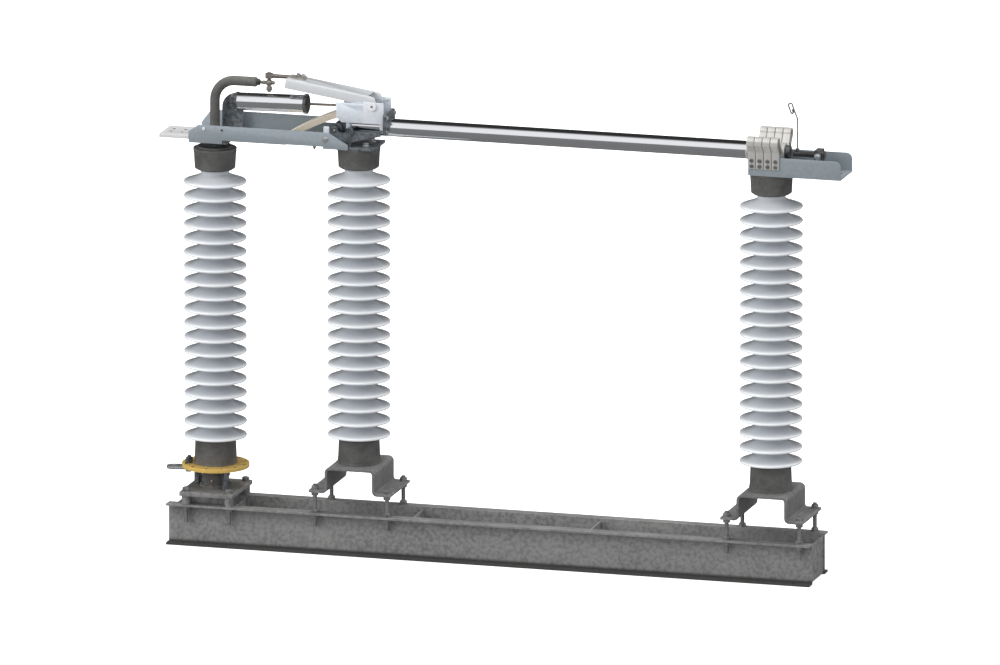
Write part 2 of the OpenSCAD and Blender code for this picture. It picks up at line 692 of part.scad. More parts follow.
module jaw_channel() color("#86909a") at_jaw_post() difference() {
    union() {
        translate([jaw_start, -jaw_w / 2, post_top_z]) cube([jaw_len, jaw_w, jaw_t]);
        both_sides() upright(jaw_w / 2 - jaw_t, jaw_t) jaw_side_outline();
    }
    terminal_holes(jaw_start + jaw_len - 55, post_top_z, jaw_t);
    translate([0, 0, post_top_z - 1]) for (a = [45:90:315]) rotate(a)
        translate([cap_pcd / 2, 0, 0]) cylinder(d = 18, h = jaw_t + 2);
}

// Reverse-loop finger in Y and Z: up the outside of the channel, over, and down onto the contact
module finger_outline() {
    side = jaw_w / 2;
    inner = contact_d / 2 + finger_gap;
    outer = side + 26;
    loop_r = 23;
    loop_y = outer + finger_t - loop_r;
    loop_z = blade_rise + 83 - loop_r;
    knee_z = jaw_side_h + 23;
    polygon([
        [side, 30], [side + finger_t, 30], [side + finger_t, knee_z], [outer + finger_t, knee_z + 30],
        [outer + finger_t, loop_z], [outer, loop_z], [outer, knee_z + 31], [side, knee_z + 2]
    ]);
    translate([loop_y, loop_z]) {
        quarter_ring(loop_r, finger_t);
        mirror([1, 0]) quarter_ring(loop_r, finger_t);
    }
    polygon([
        [loop_y - loop_r, loop_z], [loop_y - loop_r + finger_t, loop_z],
        [inner + finger_t, blade_rise + 4], [inner + finger_t, blade_rise - 4],
        [inner + finger_t + 9, blade_rise - 36], [inner + 9, blade_rise - 36],
        [inner, blade_rise - 4], [inner, blade_rise + 4]
    ]);
}

module contact_fingers() color("#b5b2a8") at_jaw_post() translate([0, 0, post_top_z])
    for (i = [0:finger_count - 1]) both_sides()
        crosswise(jaw_start + 1 + i * finger_pitch, finger_w) finger_outline();

stop_x = 193;

// The rest under the blade contact, the end stop, and the stub that carries the arcing horn
module blade_stop() color("#3a3d3f") at_jaw_post() {
    rest_h = blade_z - contact_d / 2 - 2 - post_top_z - jaw_t;
    translate([-20, -20, post_top_z + jaw_t]) cube([40, 40, rest_h]);
    translate([stop_x, -30, post_top_z + jaw_t]) cube([30, 60, blade_z + 20 - post_top_z - jaw_t]);
    translate([blade_end + 14, 0, blade_z - 4]) rod_x(24, stop_x - blade_end - 14);
    translate([stop_x + 30, 0, blade_z - 2]) rotate([0, 90, 0]) hexagon(30, 12);
}

horn_x = 113;
horn_d = 6;

// Thin wire horn: straight up from the stub, a slant toward the hinge and a long narrow hook
module arcing_horn() color("#9a9c9d") at_jaw_post() {
    foot_z = blade_z + 8;
    knee_z = blade_z + 146;
    tip_z = blade_z + 206;
    slant = atan2(22, tip_z - knee_z);
    slant_len = norm([22, tip_z - knee_z]);
    bend_r = 9;
    end_r = 5;
    hook_drop = 30;
    translate([horn_x, 0, foot_z]) cylinder(d = horn_d, h = knee_z - foot_z);
    translate([horn_x, 0, foot_z]) cylinder(d = 16, h = 12);
    translate([horn_x, 0, knee_z]) sphere(d = horn_d);
    translate([horn_x, 0, knee_z]) rotate([0, -slant, 0]) {
        cylinder(d = horn_d, h = slant_len);
        translate([-bend_r, 0, slant_len]) rotate([90, 0, 0]) rotate_extrude(angle = 180)
            translate([bend_r, 0]) circle(d = horn_d);
        translate([-2 * bend_r, 0, slant_len - hook_drop]) cylinder(d = horn_d, h = hook_drop);
        translate([end_r - 2 * bend_r, 0, slant_len - hook_drop]) rotate([-90, 0, 0])
            rotate_extrude(angle = 180) translate([end_r, 0]) circle(d = horn_d);
        translate([2 * (end_r - bend_r), 0, slant_len - hook_drop]) cylinder(d = horn_d, h = 12);
    }
}

front_channel();
rear_channel();
base_cross_plates();
bearing_plate();
bearing_bolts();
bearing_housing();
turn_stops();
hinge_pedestal();
hinge_pedestal_bolts();
jaw_pedestal();
jaw_pedestal_bolts();
rotor_base_cap();
rotor_porcelain();
rotor_top_cap();
hinge_base_cap();
hinge_porcelain();
hinge_top_cap();
jaw_base_cap();
jaw_porcelain();
jaw_top_cap();
turning_disc();
operating_lever();
crank_pipe();
crank_pin();
hinge_frame();
top_bearing();
frame_foot_plate();
terminal_bar();
conductor_strap();
spring_bracket();
hinge_casting();
hinge_pin();
hinge_yoke();
mechanism_box();
blade_tube();
blade_clamp();
blade_contact();
link_channel();
link_rod();
spring_tube();
spring_rod();
jaw_channel();
contact_fingers();
blade_stop();
arcing_horn();
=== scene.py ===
import json
import logging
import math
from collections.abc import Callable, Iterable, Sequence
from dataclasses import dataclass
from enum import Enum

import bmesh
import bpy
from mathutils import Matrix, Vector


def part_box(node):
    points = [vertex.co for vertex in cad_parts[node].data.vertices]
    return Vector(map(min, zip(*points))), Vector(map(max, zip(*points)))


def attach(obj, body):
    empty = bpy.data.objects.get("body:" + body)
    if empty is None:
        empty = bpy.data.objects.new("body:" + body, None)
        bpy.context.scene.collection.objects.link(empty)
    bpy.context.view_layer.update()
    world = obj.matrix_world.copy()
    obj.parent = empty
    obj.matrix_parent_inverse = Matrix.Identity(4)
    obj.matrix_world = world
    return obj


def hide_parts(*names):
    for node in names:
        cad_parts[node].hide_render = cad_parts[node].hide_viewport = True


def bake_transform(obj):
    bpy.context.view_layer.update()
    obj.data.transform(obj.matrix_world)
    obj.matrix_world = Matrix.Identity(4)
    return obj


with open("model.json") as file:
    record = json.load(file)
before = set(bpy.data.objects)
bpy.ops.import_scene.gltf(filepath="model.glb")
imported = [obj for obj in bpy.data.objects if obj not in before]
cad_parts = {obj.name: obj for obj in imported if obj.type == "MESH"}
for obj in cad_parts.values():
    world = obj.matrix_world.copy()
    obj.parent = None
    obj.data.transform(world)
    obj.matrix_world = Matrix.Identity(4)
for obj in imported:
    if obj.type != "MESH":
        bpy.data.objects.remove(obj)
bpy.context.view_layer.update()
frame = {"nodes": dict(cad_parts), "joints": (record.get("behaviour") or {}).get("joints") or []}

MM = 0.001
STRAIGHT = Matrix.Identity(4)
FLANGE = 9.0  # the channels' flanges, in millimetres
CAP_BOLTS = 63.5 / math.sqrt(2)  # X and Y of a cap's four bolts from its axis, in millimetres
LOG = logging.getLogger("switch")
Outline = Sequence[tuple[float, float]]
Object = bpy.types.Object
Socket = bpy.types.NodeSocket


class Way(Enum):
    """The direction in which a turned piece, a plate's thickness or a bolt head points."""

    UP = (0.0, 0.0, 1.0)
    DOWN = (0.0, 0.0, -1.0)
    FRONT = (0.0, -1.0, 0.0)
    REAR = (0.0, 1.0, 0.0)
    JAW = (1.0, 0.0, 0.0)
    CRANK = (-1.0, 0.0, 0.0)

    def turn(self) -> Matrix:
        """The turn that carries +Z to this direction and keeps +X, or else +Y, where it is."""
        ahead = Vector(self.value)
        side = Vector((1, 0, 0)) if abs(ahead.x) < 0.5 else Vector((0, 1, 0))
        return Matrix((side, ahead.cross(side), ahead)).transposed().to_4x4()


# ---------- the bench: selecting, editing and finishing a mesh ----------
def release() -> None:
    """Leave edit mode and select nothing."""
    current = bpy.context.object
    if current is not None and current.mode != "OBJECT":
        bpy.ops.object.mode_set(mode="OBJECT")
    bpy.ops.object.select_all(action="DESELECT")


def hold(piece: Object) -> Object:
    """Make a piece the only one selected, and the active one."""
    release()
    piece.select_set(True)
    bpy.context.view_layer.objects.active = piece
    return piece


def edit(piece: Object, kind: str = "VERT") -> None:
    """Open a piece in edit mode with all of it selected.

    Args:
        piece: the mesh to edit.
        kind: VERT, EDGE or FACE.
    """
    hold(piece)
    bpy.ops.object.mode_set(mode="EDIT")
    bpy.ops.mesh.select_mode(type=kind)
    bpy.ops.mesh.select_all(action="SELECT")


def pick_faces(piece: Object, wanted: Callable[[Vector, Vector], bool]) -> None:
    """Select the faces that a test on centre and normal says, in edit mode."""
    bpy.ops.mesh.select_mode(type="FACE")
    mesh = bmesh.from_edit_mesh(piece.data)
    for face in mesh.faces:
        face.select_set(wanted(face.calc_center_median(), face.normal))
    mesh.select_flush_mode()
    bmesh.update_edit_mesh(piece.data)


def close_up(near: float = 1e-5) -> None:
    """Merge the held piece's doubled points, make its faces point outwards and leave edit mode."""
    bpy.ops.mesh.select_all(action="SELECT")
    bpy.ops.mesh.remove_doubles(threshold=near)
    bpy.ops.mesh.normals_make_consistent(inside=False)
    bpy.ops.object.mode_set(mode="OBJECT")


def apply_all(piece: Object, smooth: float = 40.0) -> Object:
    """Apply the piece's modifiers and shade it smooth up to an angle in degrees."""
    hold(piece)
    for modifier in list(piece.modifiers):
        bpy.ops.object.modifier_apply(modifier=modifier.name)
    bpy.ops.object.shade_smooth_by_angle(angle=math.radians(smooth))
    return piece


def soften(piece: Object, width: float, segments: int = 2, angle: float = 32.0) -> Object:
    """Round the edges that are sharper than an angle.

    Args:
        piece: the mesh to round.
        width: the bevel's width in metres.
        segments: the steps in each bevel.
        angle: the least angle between two faces, in degrees.
    """
    bevel = piece.modifiers.new("soft edges", "BEVEL")
    bevel.limit_method = "ANGLE"
    bevel.angle_limit = math.radians(angle)
    bevel.width = width
    bevel.segments = segments
    return apply_all(piece)


def fix_place() -> None:
    """Put the held piece's place, turn and scale into its mesh."""
    bpy.ops.object.transform_apply(location=True, rotation=True, scale=True)


def settle(piece: Object, place: Vector | Sequence[float], turn: Matrix = STRAIGHT) -> Object:
    """Turn a piece about the origin, move it to its place and put both into its mesh."""
    piece.matrix_world = Matrix.Translation(Vector(place)) @ turn @ piece.matrix_world
    hold(piece)
    fix_place()
    return piece


def twin(pattern: Object) -> Object:
    """A copy of a piece with its own mesh."""
    copy = pattern.copy()
    copy.data = pattern.data.copy()
    bpy.context.scene.collection.objects.link(copy)
    return copy


def named(name: str) -> Object:
    """Give the active object and its mesh a name."""
    piece = bpy.context.object
    piece.name = piece.data.name = name
    return piece


def traced(name: str, outline: Outline) -> Object:
    """Draw an open chain of edges in X and Z, in edit mode at the end.

    Args:
        name: the name of the new piece.
        outline: the points of the chain, in millimetres.
    """
    release()
    first = outline[0]
    bpy.ops.mesh.primitive_plane_add(size=MM, location=(first[0] * MM, 0, first[1] * MM))
    piece = named(name)
    fix_place()
    edit(piece)
    bpy.ops.mesh.merge(type="CENTER")
    for last, point in zip(outline, outline[1:]):
        step = ((point[0] - last[0]) * MM, 0, (point[1] - last[1]) * MM)
        bpy.ops.mesh.extrude_region_move(TRANSFORM_OT_translate={"value": step})
    return piece


def turned(name: str, outline: Outline, place: Sequence[float], way: Way = Way.UP,
           steps: int = 64) -> Object:
    """Turn an outline of (radius, height) points about its axis, as on a lathe.

    Args:
        name: the name of the new piece.
        outline: radius and height of each point, in millimetres.
        place: where the axis starts, in metres.
        way: where the axis points.
        steps: the number of steps in a full turn.

    Returns:
        The turned piece.
    """
    piece = traced(name, outline)
    bpy.ops.mesh.select_all(action="SELECT")
    bpy.ops.mesh.spin(steps=steps, angle=math.tau, center=(0, 0, 0), axis=(0, 0, 1))
    close_up()
    return apply_all(settle(piece, place, way.turn()), 30)


def cut_plate(name: str, outline: Outline, thickness: float, place: Sequence[float], way: Way,
              edge: float = 0.6) -> Object:
    """Cut a plate to an outline, give it its thickness and round its edges.

    Args:
        name: the name of the new piece.
        outline: the corners in the plate's own two axes, in millimetres.
        thickness: in millimetres.
        place: the outline's origin, in metres.
        way: where the plate's thickness grows.
        edge: the rounding of its edges, in millimetres.
    """
    piece = traced(name, outline)
    bpy.ops.mesh.select_all(action="SELECT")
    bpy.ops.mesh.edge_face_add()
    bpy.ops.mesh.extrude_region_move(TRANSFORM_OT_translate={"value": (0, -thickness * MM, 0)})
    close_up()
    # the outline's X and Z become the plate's own two axes, and -Y its thickness
    settle(piece, (0, 0, 0), Matrix.Rotation(math.radians(-90), 4, "X"))
    settle(piece, place, way.turn())
    return soften(piece, edge * MM)


def bent_wire(name: str, points: Sequence[Sequence[float]], radius: float) -> Object:
    """A round wire along a smooth line, with closed ends.

    Args:
        name: the name of the new piece.
        points: the points that its centre passes, in metres.
        radius: in metres.
    """
    release()
    bpy.ops.curve.primitive_bezier_curve_add(location=(0, 0, 0))
    piece = named(name)
    line = piece.data
    line.splines.clear()
    spline = line.splines.new("POLY")
    spline.points.add(len(points) - 1)
    for held, point in zip(spline.points, points):
        held.co = (*point, 1)
    line.dimensions, line.bevel_depth = "3D", radius
    line.bevel_resolution, line.use_fill_caps = 3, True
    hold(piece)
    bpy.ops.object.convert(target="MESH")
    piece = named(name)
    edit(piece)
    close_up(1e-6)
    return apply_all(piece, 50)


def arc(centre: Sequence[float], radius: float, start: float, end: float,
        steps: int) -> list[tuple[float, float]]:
    """Points on an arc in a plane, from one angle to another, in degrees."""
    turn = [math.radians(start + (end - start) * i / steps) for i in range(steps + 1)]
    return [(centre[0] + radius * math.cos(a), centre[1] + radius * math.sin(a)) for a in turn]


def spread(name: str, pattern: Object, places: Iterable[Sequence[float]], way: Way = Way.UP) -> Object:
    """Copy a pattern to each place, turned to point one way, and join the copies into one piece.

    Args:
        name: the name of the joined piece.
        pattern: a piece modelled at the origin that points up. It is left as it is.
        places: where each copy stands, in metres.
        way: where each copy points.
    """
    return merged(name, [settle(twin(pattern), place, way.turn()) for place in places])


def merged(name: str, pieces: Sequence[Object]) -> Object:
    """Join several pieces into one, named mesh."""
    release()
    for piece in pieces:
        piece.select_set(True)
    bpy.context.view_layer.objects.active = pieces[0]
    if len(pieces) > 1:
        bpy.ops.object.join()
    return named(name)


def refined(node: str, name: str, edge: float, segments: int = 2) -> Object:
    """A copy of a CAD node with its flat faces made whole and its edges rounded, in the node's stead.

    Args:
        node: the CAD node.
        name: the name of the new piece.
        edge: the rounding in millimetres.
        segments: the steps in each rounding.
    """
    piece = twin(frame["nodes"][node])
    piece.parent = None
    for key in [k for k in piece.keys() if k.startswith("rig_")]:
        del piece[key]
    hold(piece)
    named(name)
    bpy.ops.mesh.customdata_custom_splitnormals_clear()
    edit(piece)
    bpy.ops.mesh.remove_doubles(threshold=2e-6)
    bpy.ops.mesh.mark_sharp(clear=True)
    bpy.ops.mesh.dissolve_limited(angle_limit=math.radians(0.4))
    bpy.ops.object.mode_set(mode="OBJECT")
    soften(piece, edge * MM, segments)
    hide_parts(node)
    return piece


def middle(node: str) -> Vector:
    """The middle of a CAD node's box."""
    low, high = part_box(node)
    return (low + high) / 2


def at(place: Vector | Sequence[float], x: float = 0, y: float = 0, z: float = 0) -> Vector:
    """A point beside another one, by so many millimetres along X, Y and Z."""
    return Vector(place) + Vector((x, y, z)) * MM


# ---------- finishes ----------
class NodeSheet:
    """A node tree that is filled from left to right."""

    def __init__(self, tree: bpy.types.NodeTree) -> None:
        """Start on an empty tree."""
        self.tree = tree
        tree.nodes.clear()

    def add(self, kind: str, inputs: dict[str | int, object] | None = None,
            **settings: object) -> bpy.types.Node:
        """Add a node, give it its settings and join or set its inputs.

        Args:
            kind: the node's type, without ShaderNode.
            inputs: a socket to link from, or a plain value, for each input's name or number.
            settings: the node's own properties.

        Returns:
            The new node.
        """
        node = self.tree.nodes.new(kind if kind.startswith("NodeGroup") else "ShaderNode" + kind)
        for key, value in settings.items():
            setattr(node, key, value)
        for key, value in (inputs or {}).items():
            if isinstance(value, bpy.types.NodeSocket):
                self.tree.links.new(value, node.inputs[key])
            else:
                node.inputs[key].default_value = value
        return node

    def maths(self, operation: str, first: object, second: object, clamp: bool = False) -> Socket:
        """A sum, product or the like of two values."""
        return self.add("Math", {0: first, 1: second}, operation=operation, use_clamp=clamp).outputs[0]

    def blend(self, share: object, low: object, high: object, how: str = "MIX") -> Socket:
        """Mix two colours by a share from 0 to 1."""
        node = self.add("Mix", {0: share, 6: low, 7: high}, data_type="RGBA", blend_type=how)
        return node.outputs[2]

    def spread(self, value: Socket, low: float, high: float, start: float = 0, end: float = 1) -> Socket:
        """Map a value from start..end to low..high."""
        given = {"Value": value, "From Min": start, "From Max": end, "To Min": low, "To Max": high}
        return self.add("MapRange", given).outputs[0]


def effect(name: str, takes: dict[str, str], gives: dict[str, str],
           fill: Callable[[NodeSheet, bpy.types.Node, bpy.types.Node], None]) -> bpy.types.NodeTree:
    """Build a shared effect once, and return it again when it is asked for later.

    Args:
        name: the effect's name.
        takes: each input's name, and whether it is a Float, Vector or Color.
        gives: each output's name and kind.
        fill: a function that adds the nodes between the group's input and output.
    """
    if name in bpy.data.node_groups:
        return bpy.data.node_groups[name]
    tree = bpy.data.node_groups.new(name, "ShaderNodeTree")
    sheet = NodeSheet(tree)
    for sockets, side in ((takes, "INPUT"), (gives, "OUTPUT")):
        for label, kind in sockets.items():
            tree.interface.new_socket(name=label, in_out=side, socket_type="NodeSocket" + kind)
    fill(sheet, sheet.add("NodeGroupInput"), sheet.add("NodeGroupOutput"))
    return tree


def fill_mottle(sheet: NodeSheet, given: bpy.types.Node, out: bpy.types.Node) -> None:
    """Large clouds, fine specks and crystal cells that vary over a surface."""
    place, scale = given.outputs["Place"], given.outputs["Scale"]
    cloud = sheet.add("TexNoise", {"Vector": place, "Scale": scale, "Detail": 6.0, "Roughness": 0.62})
    finer = sheet.maths("MULTIPLY", scale, 9.0)
    speck = sheet.add("TexNoise", {"Vector": place, "Scale": finer, "Detail": 4.0, "Roughness": 0.7})
    cell_scale = sheet.maths("MULTIPLY", scale, 3.5)
    cells = sheet.add("TexVoronoi", {"Vector": place, "Scale": cell_scale})
    tone = sheet.add("RGBToBW", {0: cells.outputs["Color"]}).outputs[0]
    mixed = sheet.maths("ADD", sheet.maths("MULTIPLY", cloud.outputs[0], 0.62),
                        sheet.maths("MULTIPLY", speck.outputs[0], 0.28))
    mixed = sheet.maths("ADD", mixed, sheet.maths("MULTIPLY", tone, 0.10))
    shifted = sheet.maths("MULTIPLY", sheet.maths("SUBTRACT", mixed, 0.5), given.outputs["Contrast"])
    sheet.tree.links.new(sheet.maths("ADD", shifted, 0.5, True), out.inputs["Clouds"])
    sheet.tree.links.new(speck.outputs[0], out.inputs["Specks"])
    sheet.tree.links.new(tone, out.inputs["Cells"])


def fill_wear(sheet: NodeSheet, given: bpy.types.Node, out: bpy.types.Node) -> None:
    """Rubbed outer edges, broken up by noise."""
    bend = sheet.add("NewGeometry").outputs["Pointiness"]
    edge = sheet.spread(bend, 0.0, 1.0, 0.505, 0.56)
    broken = sheet.add("TexNoise", {"Vector": given.outputs["Place"], "Scale": 60.0, "Detail": 3.0})
    rubbed = sheet.spread(broken.outputs[0], 0.15, 1.0, 0.35, 0.6)
    sheet.tree.links.new(sheet.maths("MULTIPLY", edge, rubbed, True), out.inputs["Wear"])


def fill_dust(sheet: NodeSheet, given: bpy.types.Node, out: bpy.types.Node) -> None:
    """A thin film of dust on what faces up."""
    up = sheet.add("SeparateXYZ", {0: sheet.add("NewGeometry").outputs["Normal"]}).outputs["Z"]
    lying = sheet.spread(up, 0.0, 1.0, 0.45, 1.0)
    cloud = sheet.add("TexNoise", {"Vector": given.outputs["Place"], "Scale": 7.0, "Detail": 5.0})
    patchy = sheet.spread(cloud.outputs[0], 0.25, 1.0, 0.35, 0.65)
    sheet.tree.links.new(sheet.maths("MULTIPLY", lying, patchy, True), out.inputs["Dust"])


def fill_drawn(sheet: NodeSheet, given: bpy.types.Node, out: bpy.types.Node) -> None:
    """Fine lines that run one way, as rolling or drawing leaves them."""
    place, across = given.outputs["Place"], given.outputs["Across"]
    streak = sheet.add("VectorMath", {0: place, 1: across}, operation="MULTIPLY").outputs[0]
    lines = sheet.add("TexNoise", {"Vector": streak, "Scale": 1.0, "Detail": 3.0, "Roughness": 0.6})
    sheet.tree.links.new(lines.outputs[0], out.inputs["Lines"])


PLACE = {"Place": "Vector"}


@dataclass(frozen=True)
class Finish:
    """A mottled metal or painted finish: two tones, specks, worn edges and dust.

    Colours are linear red, green and blue.
    """

    name: str
    slot: str
    low: tuple[float, float, float]
    high: tuple[float, float, float]
    rough: tuple[float, float] = (0.4, 0.6)
    metallic: float = 0.0
    scale: float = 14.0
    contrast: float = 1.6
    worn: tuple[float, float, float] = (0.5, 0.5, 0.5)
    wear: float = 0.5
    dust: float = 0.12
    grain: float = 0.15
    lines: tuple[float, float, float] = (0.0, 0.0, 0.0)
    line_share: float = 0.0
    # painted shade: below this height, in metres, the colour is darkened nearly to black
    coat: float = 0.0
    soil: float = 0.0

    def tone(self, sheet: NodeSheet, place: Socket, mottle: bpy.types.Node) -> Socket:
        """The colour before wear and dust."""
        clouds = mottle.outputs["Clouds"]
        if self.line_share:
            group = effect("drawn lines", {**PLACE, "Across": "Vector"}, {"Lines": "Float"}, fill_drawn)
            drawn = sheet.add("Group", {"Place": place, "Across": self.lines}, node_tree=group)
            clouds = sheet.maths("ADD", sheet.maths("MULTIPLY", clouds, 1 - self.line_share),
                                 sheet.maths("MULTIPLY", drawn.outputs["Lines"], self.line_share), True)
        return sheet.blend(clouds, (*self.low, 1), (*self.high, 1))

    def material(self) -> bpy.types.Material:
        """Build the material's nodes, or return the material if it is there already."""
        if self.name in bpy.data.materials:
            return bpy.data.materials[self.name]
        material = bpy.data.materials.new(self.name)
        material.use_nodes = True
        sheet = NodeSheet(material.node_tree)
        place = sheet.add("TexCoord").outputs["Object"]
        shared = effect("mottle", {**PLACE, "Scale": "Float", "Contrast": "Float"},
                        {"Clouds": "Float", "Specks": "Float", "Cells": "Float"}, fill_mottle)
        mottle = sheet.add("Group", {"Place": place, "Scale": self.scale, "Contrast": self.contrast},
                           node_tree=shared)
        wear, dust = (sheet.add("Group", {"Place": place}, node_tree=effect(name, PLACE, gives, fill))
                      for name, gives, fill in (("edge wear", {"Wear": "Float"}, fill_wear),
                                                ("dust", {"Dust": "Float"}, fill_dust)))
        colour = self.tone(sheet, place, mottle)
        rubbed = sheet.maths("MULTIPLY", wear.outputs[0], self.wear)
        colour = sheet.blend(rubbed, colour, (*self.worn, 1))
        film = sheet.maths("MULTIPLY", dust.outputs[0], self.dust)
        colour = sheet.blend(film, colour, (0.42, 0.41, 0.39, 1))
        # painted shade: darker towards the bottom, nearly black below a height
        if self.soil:
            height = sheet.add("SeparateXYZ", {0: place}).outputs["Z"]
            painted_shade = sheet.spread(height, 0.85, 0.0, self.soil, self.soil + 0.012)
            colour = sheet.blend(painted_shade, colour, (0.03, 0.029, 0.027, 1))
        rough = sheet.spread(mottle.outputs["Specks"], self.rough[0], self.rough[1], 0.3, 0.7)
        rough = sheet.maths("ADD", rough, sheet.maths("MULTIPLY", film, 0.5), True)
        height = sheet.maths("MULTIPLY", mottle.outputs["Specks"], 0.7)
        height = sheet.maths("ADD", height, sheet.maths("MULTIPLY", mottle.outputs["Cells"], 0.3))
        bump = sheet.add("Bump", {"Strength": self.grain, "Distance": 0.0008, "Height": height})
        shader = sheet.add("BsdfPrincipled", {
            "Base Color": colour, "Roughness": rough, "Metallic": self.metallic, "Normal": bump.outputs[0],
            "Coat Weight": self.coat, "Coat Roughness": 0.08})
        sheet.add("OutputMaterial", {"Surface": shader.outputs[0]})
        return material


@dataclass(frozen=True)
class Glaze(Finish):
    """Fired glaze on porcelain, with painted highlight: paler towards the rims of the sheds."""

    axis_x: float = 0.0
    # painted highlight: the colour that the shed rims are whitened to
    rim: tuple[float, float, float] = (0.86, 0.88, 0.9)
    core_radius: float = 0.07
    rim_radius: float = 0.134

    def tone(self, sheet: NodeSheet, place: Socket, mottle: bpy.types.Node) -> Socket:
        """The glaze's tone, with painted highlight that whitens it from the core out to the rims."""
        offset = (-self.axis_x, 0, 0)
        centred = sheet.add("Mapping", {"Vector": place, "Location": offset, "Scale": (1, 1, 0)})
        out = sheet.add("VectorMath", {0: centred.outputs[0]}, operation="LENGTH").outputs["Value"]
        share = sheet.spread(out, 0.0, 1.0, self.core_radius, self.rim_radius)
        # painted highlight: the rims whiten as the radius nears the rim's
        edge = sheet.maths("POWER", share, 5.0, True)
        body = sheet.blend(mottle.outputs["Clouds"], (*self.low, 1), (*self.high, 1))
        return sheet.blend(edge, body, (*self.rim, 1))


@dataclass(frozen=True)
class Leaves(Finish):
    """A stack of thin leaves: pale on its faces, brown and layered on its edges."""

    edge_tone: tuple[float, float, float] = (0.66, 0.59, 0.49)

    def tone(self, sheet: NodeSheet, place: Socket, mottle: bpy.types.Node) -> Socket:
        """Pale faces with tan sides."""
        face = super().tone(sheet, place, mottle)
        side = sheet.add("SeparateXYZ", {0: sheet.add("NewGeometry").outputs["Normal"]}).outputs["Y"]
        share = sheet.spread(sheet.maths("ABSOLUTE", side, 0.0), 0.0, 1.0, 0.4, 0.8)
        return sheet.blend(share, face, (*self.edge_tone, 1))


GALVANISED = Finish("hot dip galvanised steel", "galvanised", (0.085, 0.087, 0.087), (0.215, 0.215, 0.212),
                    (0.42, 0.64), 0.25, 5.0, 2.2, (0.4, 0.4, 0.39), 0.5, 0.2, 0.3)
# the base channel gets painted shade along its bottom flange
CHANNEL = Finish("galvanised base channel", "galvanised", (0.105, 0.107, 0.107), (0.245, 0.245, 0.241),
                 (0.42, 0.64), 0.25, 3.2, 2.2, (0.4, 0.4, 0.39), 0.5, 0.2, 0.3, soil=0.010)
CAST_CAP = Finish("galvanised cast cap", "casting", (0.06, 0.06, 0.058), (0.17, 0.168, 0.162),
                  (0.5, 0.7), 0.25, 13.0, 2.2, (0.26, 0.26, 0.25), 0.4, 0.15, 0.4)
PIPE = Finish("galvanised pipe", "casting", (0.085, 0.084, 0.08), (0.185, 0.182, 0.174),
              (0.5, 0.7), 0.3, 22.0, 1.8, (0.26, 0.25, 0.24), 0.3, 0.2, 0.35)
DARK_CAST = Finish("dark cast aluminium", "casting", (0.055, 0.066, 0.077), (0.115, 0.132, 0.147),
                   (0.34, 0.52), 0.5, 26.0, 1.5, (0.36, 0.39, 0.41), 0.5, 0.12, 0.25)
CHROMATE = Finish("yellow chromate plating", "chromate", (0.72, 0.42, 0.05), (0.95, 0.66, 0.19),
                  (0.26, 0.42), 0.35, 11.0, 1.8, (0.9, 0.74, 0.38), 0.45, 0.04, 0.1, coat=0.2)
BRIGHT = Finish("bright zinc plating", "bright_steel", (0.46, 0.48, 0.5), (0.78, 0.8, 0.82),
                (0.16, 0.36), 0.85, 40.0, 1.6, (0.9, 0.9, 0.9), 0.5, 0.08, 0.1)
SHEET_BRIGHT = Finish("bright sheet", "bright_steel", (0.84, 0.87, 0.9), (0.92, 0.94, 0.96),
                      (0.12, 0.2), 0.4, 7.0, 1.0, (0.95, 0.95, 0.95), 0.3, 0.02, 0.02,
                      (1.5, 120.0, 120.0), 0.15)
FRAME = Finish("satin blue grey aluminium", "frame_aluminium", (0.285, 0.33, 0.36), (0.312, 0.36, 0.39),
               (0.38, 0.44), 0.3, 6.0, 1.0, (0.5, 0.54, 0.57), 0.25, 0.02, 0.02,
               (2.0, 140.0, 140.0), 0.2)
BARE = Finish("bare bar aluminium", "bare_aluminium", (0.64, 0.64, 0.635), (0.75, 0.75, 0.745),
              (0.32, 0.44), 0.3, 10.0, 1.1, (0.9, 0.9, 0.9), 0.4, 0.06, 0.05, (2.5, 160.0, 160.0), 0.3)
BOX_SHEET = Finish("mill finish box sheet", "bare_aluminium", (0.6, 0.655, 0.72), (0.68, 0.735, 0.8),
                   (0.3, 0.4), 0.2, 9.0, 1.0, (0.85, 0.88, 0.9), 0.4, 0.04, 0.04, (2.5, 160.0, 160.0), 0.25)
BOX_END = Finish("pale box sheet", "bare_aluminium", (0.68, 0.73, 0.79), (0.75, 0.8, 0.85),
                 (0.3, 0.4), 0.2, 9.0, 1.0, (0.9, 0.92, 0.94), 0.4, 0.04, 0.04, (2.5, 160.0, 160.0), 0.25)
POLISHED = Finish("polished tube", "polished_tube", (0.72, 0.73, 0.75), (0.86, 0.87, 0.88),
                  (0.05, 0.13), 1.0, 6.0, 1.2, (0.9, 0.9, 0.9), 0.3, 0.03, 0.03, (0.8, 150.0, 150.0), 0.5)
STRAP = Leaves("leaf copper strap", "laminated_strap", (0.74, 0.7, 0.6), (0.9, 0.88, 0.8),
               (0.32, 0.5), 0.15, 12.0, 1.5, (0.85, 0.72, 0.55), 0.4, 0.05, 0.06, (2.0, 90.0, 1.0), 0.4)
SILVERED = Finish("silvered copper", "silvered", (0.6, 0.59, 0.555), (0.7, 0.69, 0.65),
                  (0.26, 0.36), 0.45, 14.0, 1.0, (0.85, 0.83, 0.8), 0.3, 0.03, 0.02, (90.0, 2.0, 2.0), 0.15)
DARK_STEEL = Finish("dark steel", "dark_steel", (0.018, 0.018, 0.019), (0.06, 0.06, 0.062),
                    (0.34, 0.55), 0.4, 34.0, 1.8, (0.25, 0.25, 0.25), 0.5, 0.12, 0.2)
GREY_STEEL = Finish("dull zinc fasteners", "bright_steel", (0.1, 0.1, 0.1), (0.27, 0.27, 0.26),
                    (0.35, 0.55), 0.65, 45.0, 1.9, (0.5, 0.5, 0.5), 0.6, 0.15, 0.2)
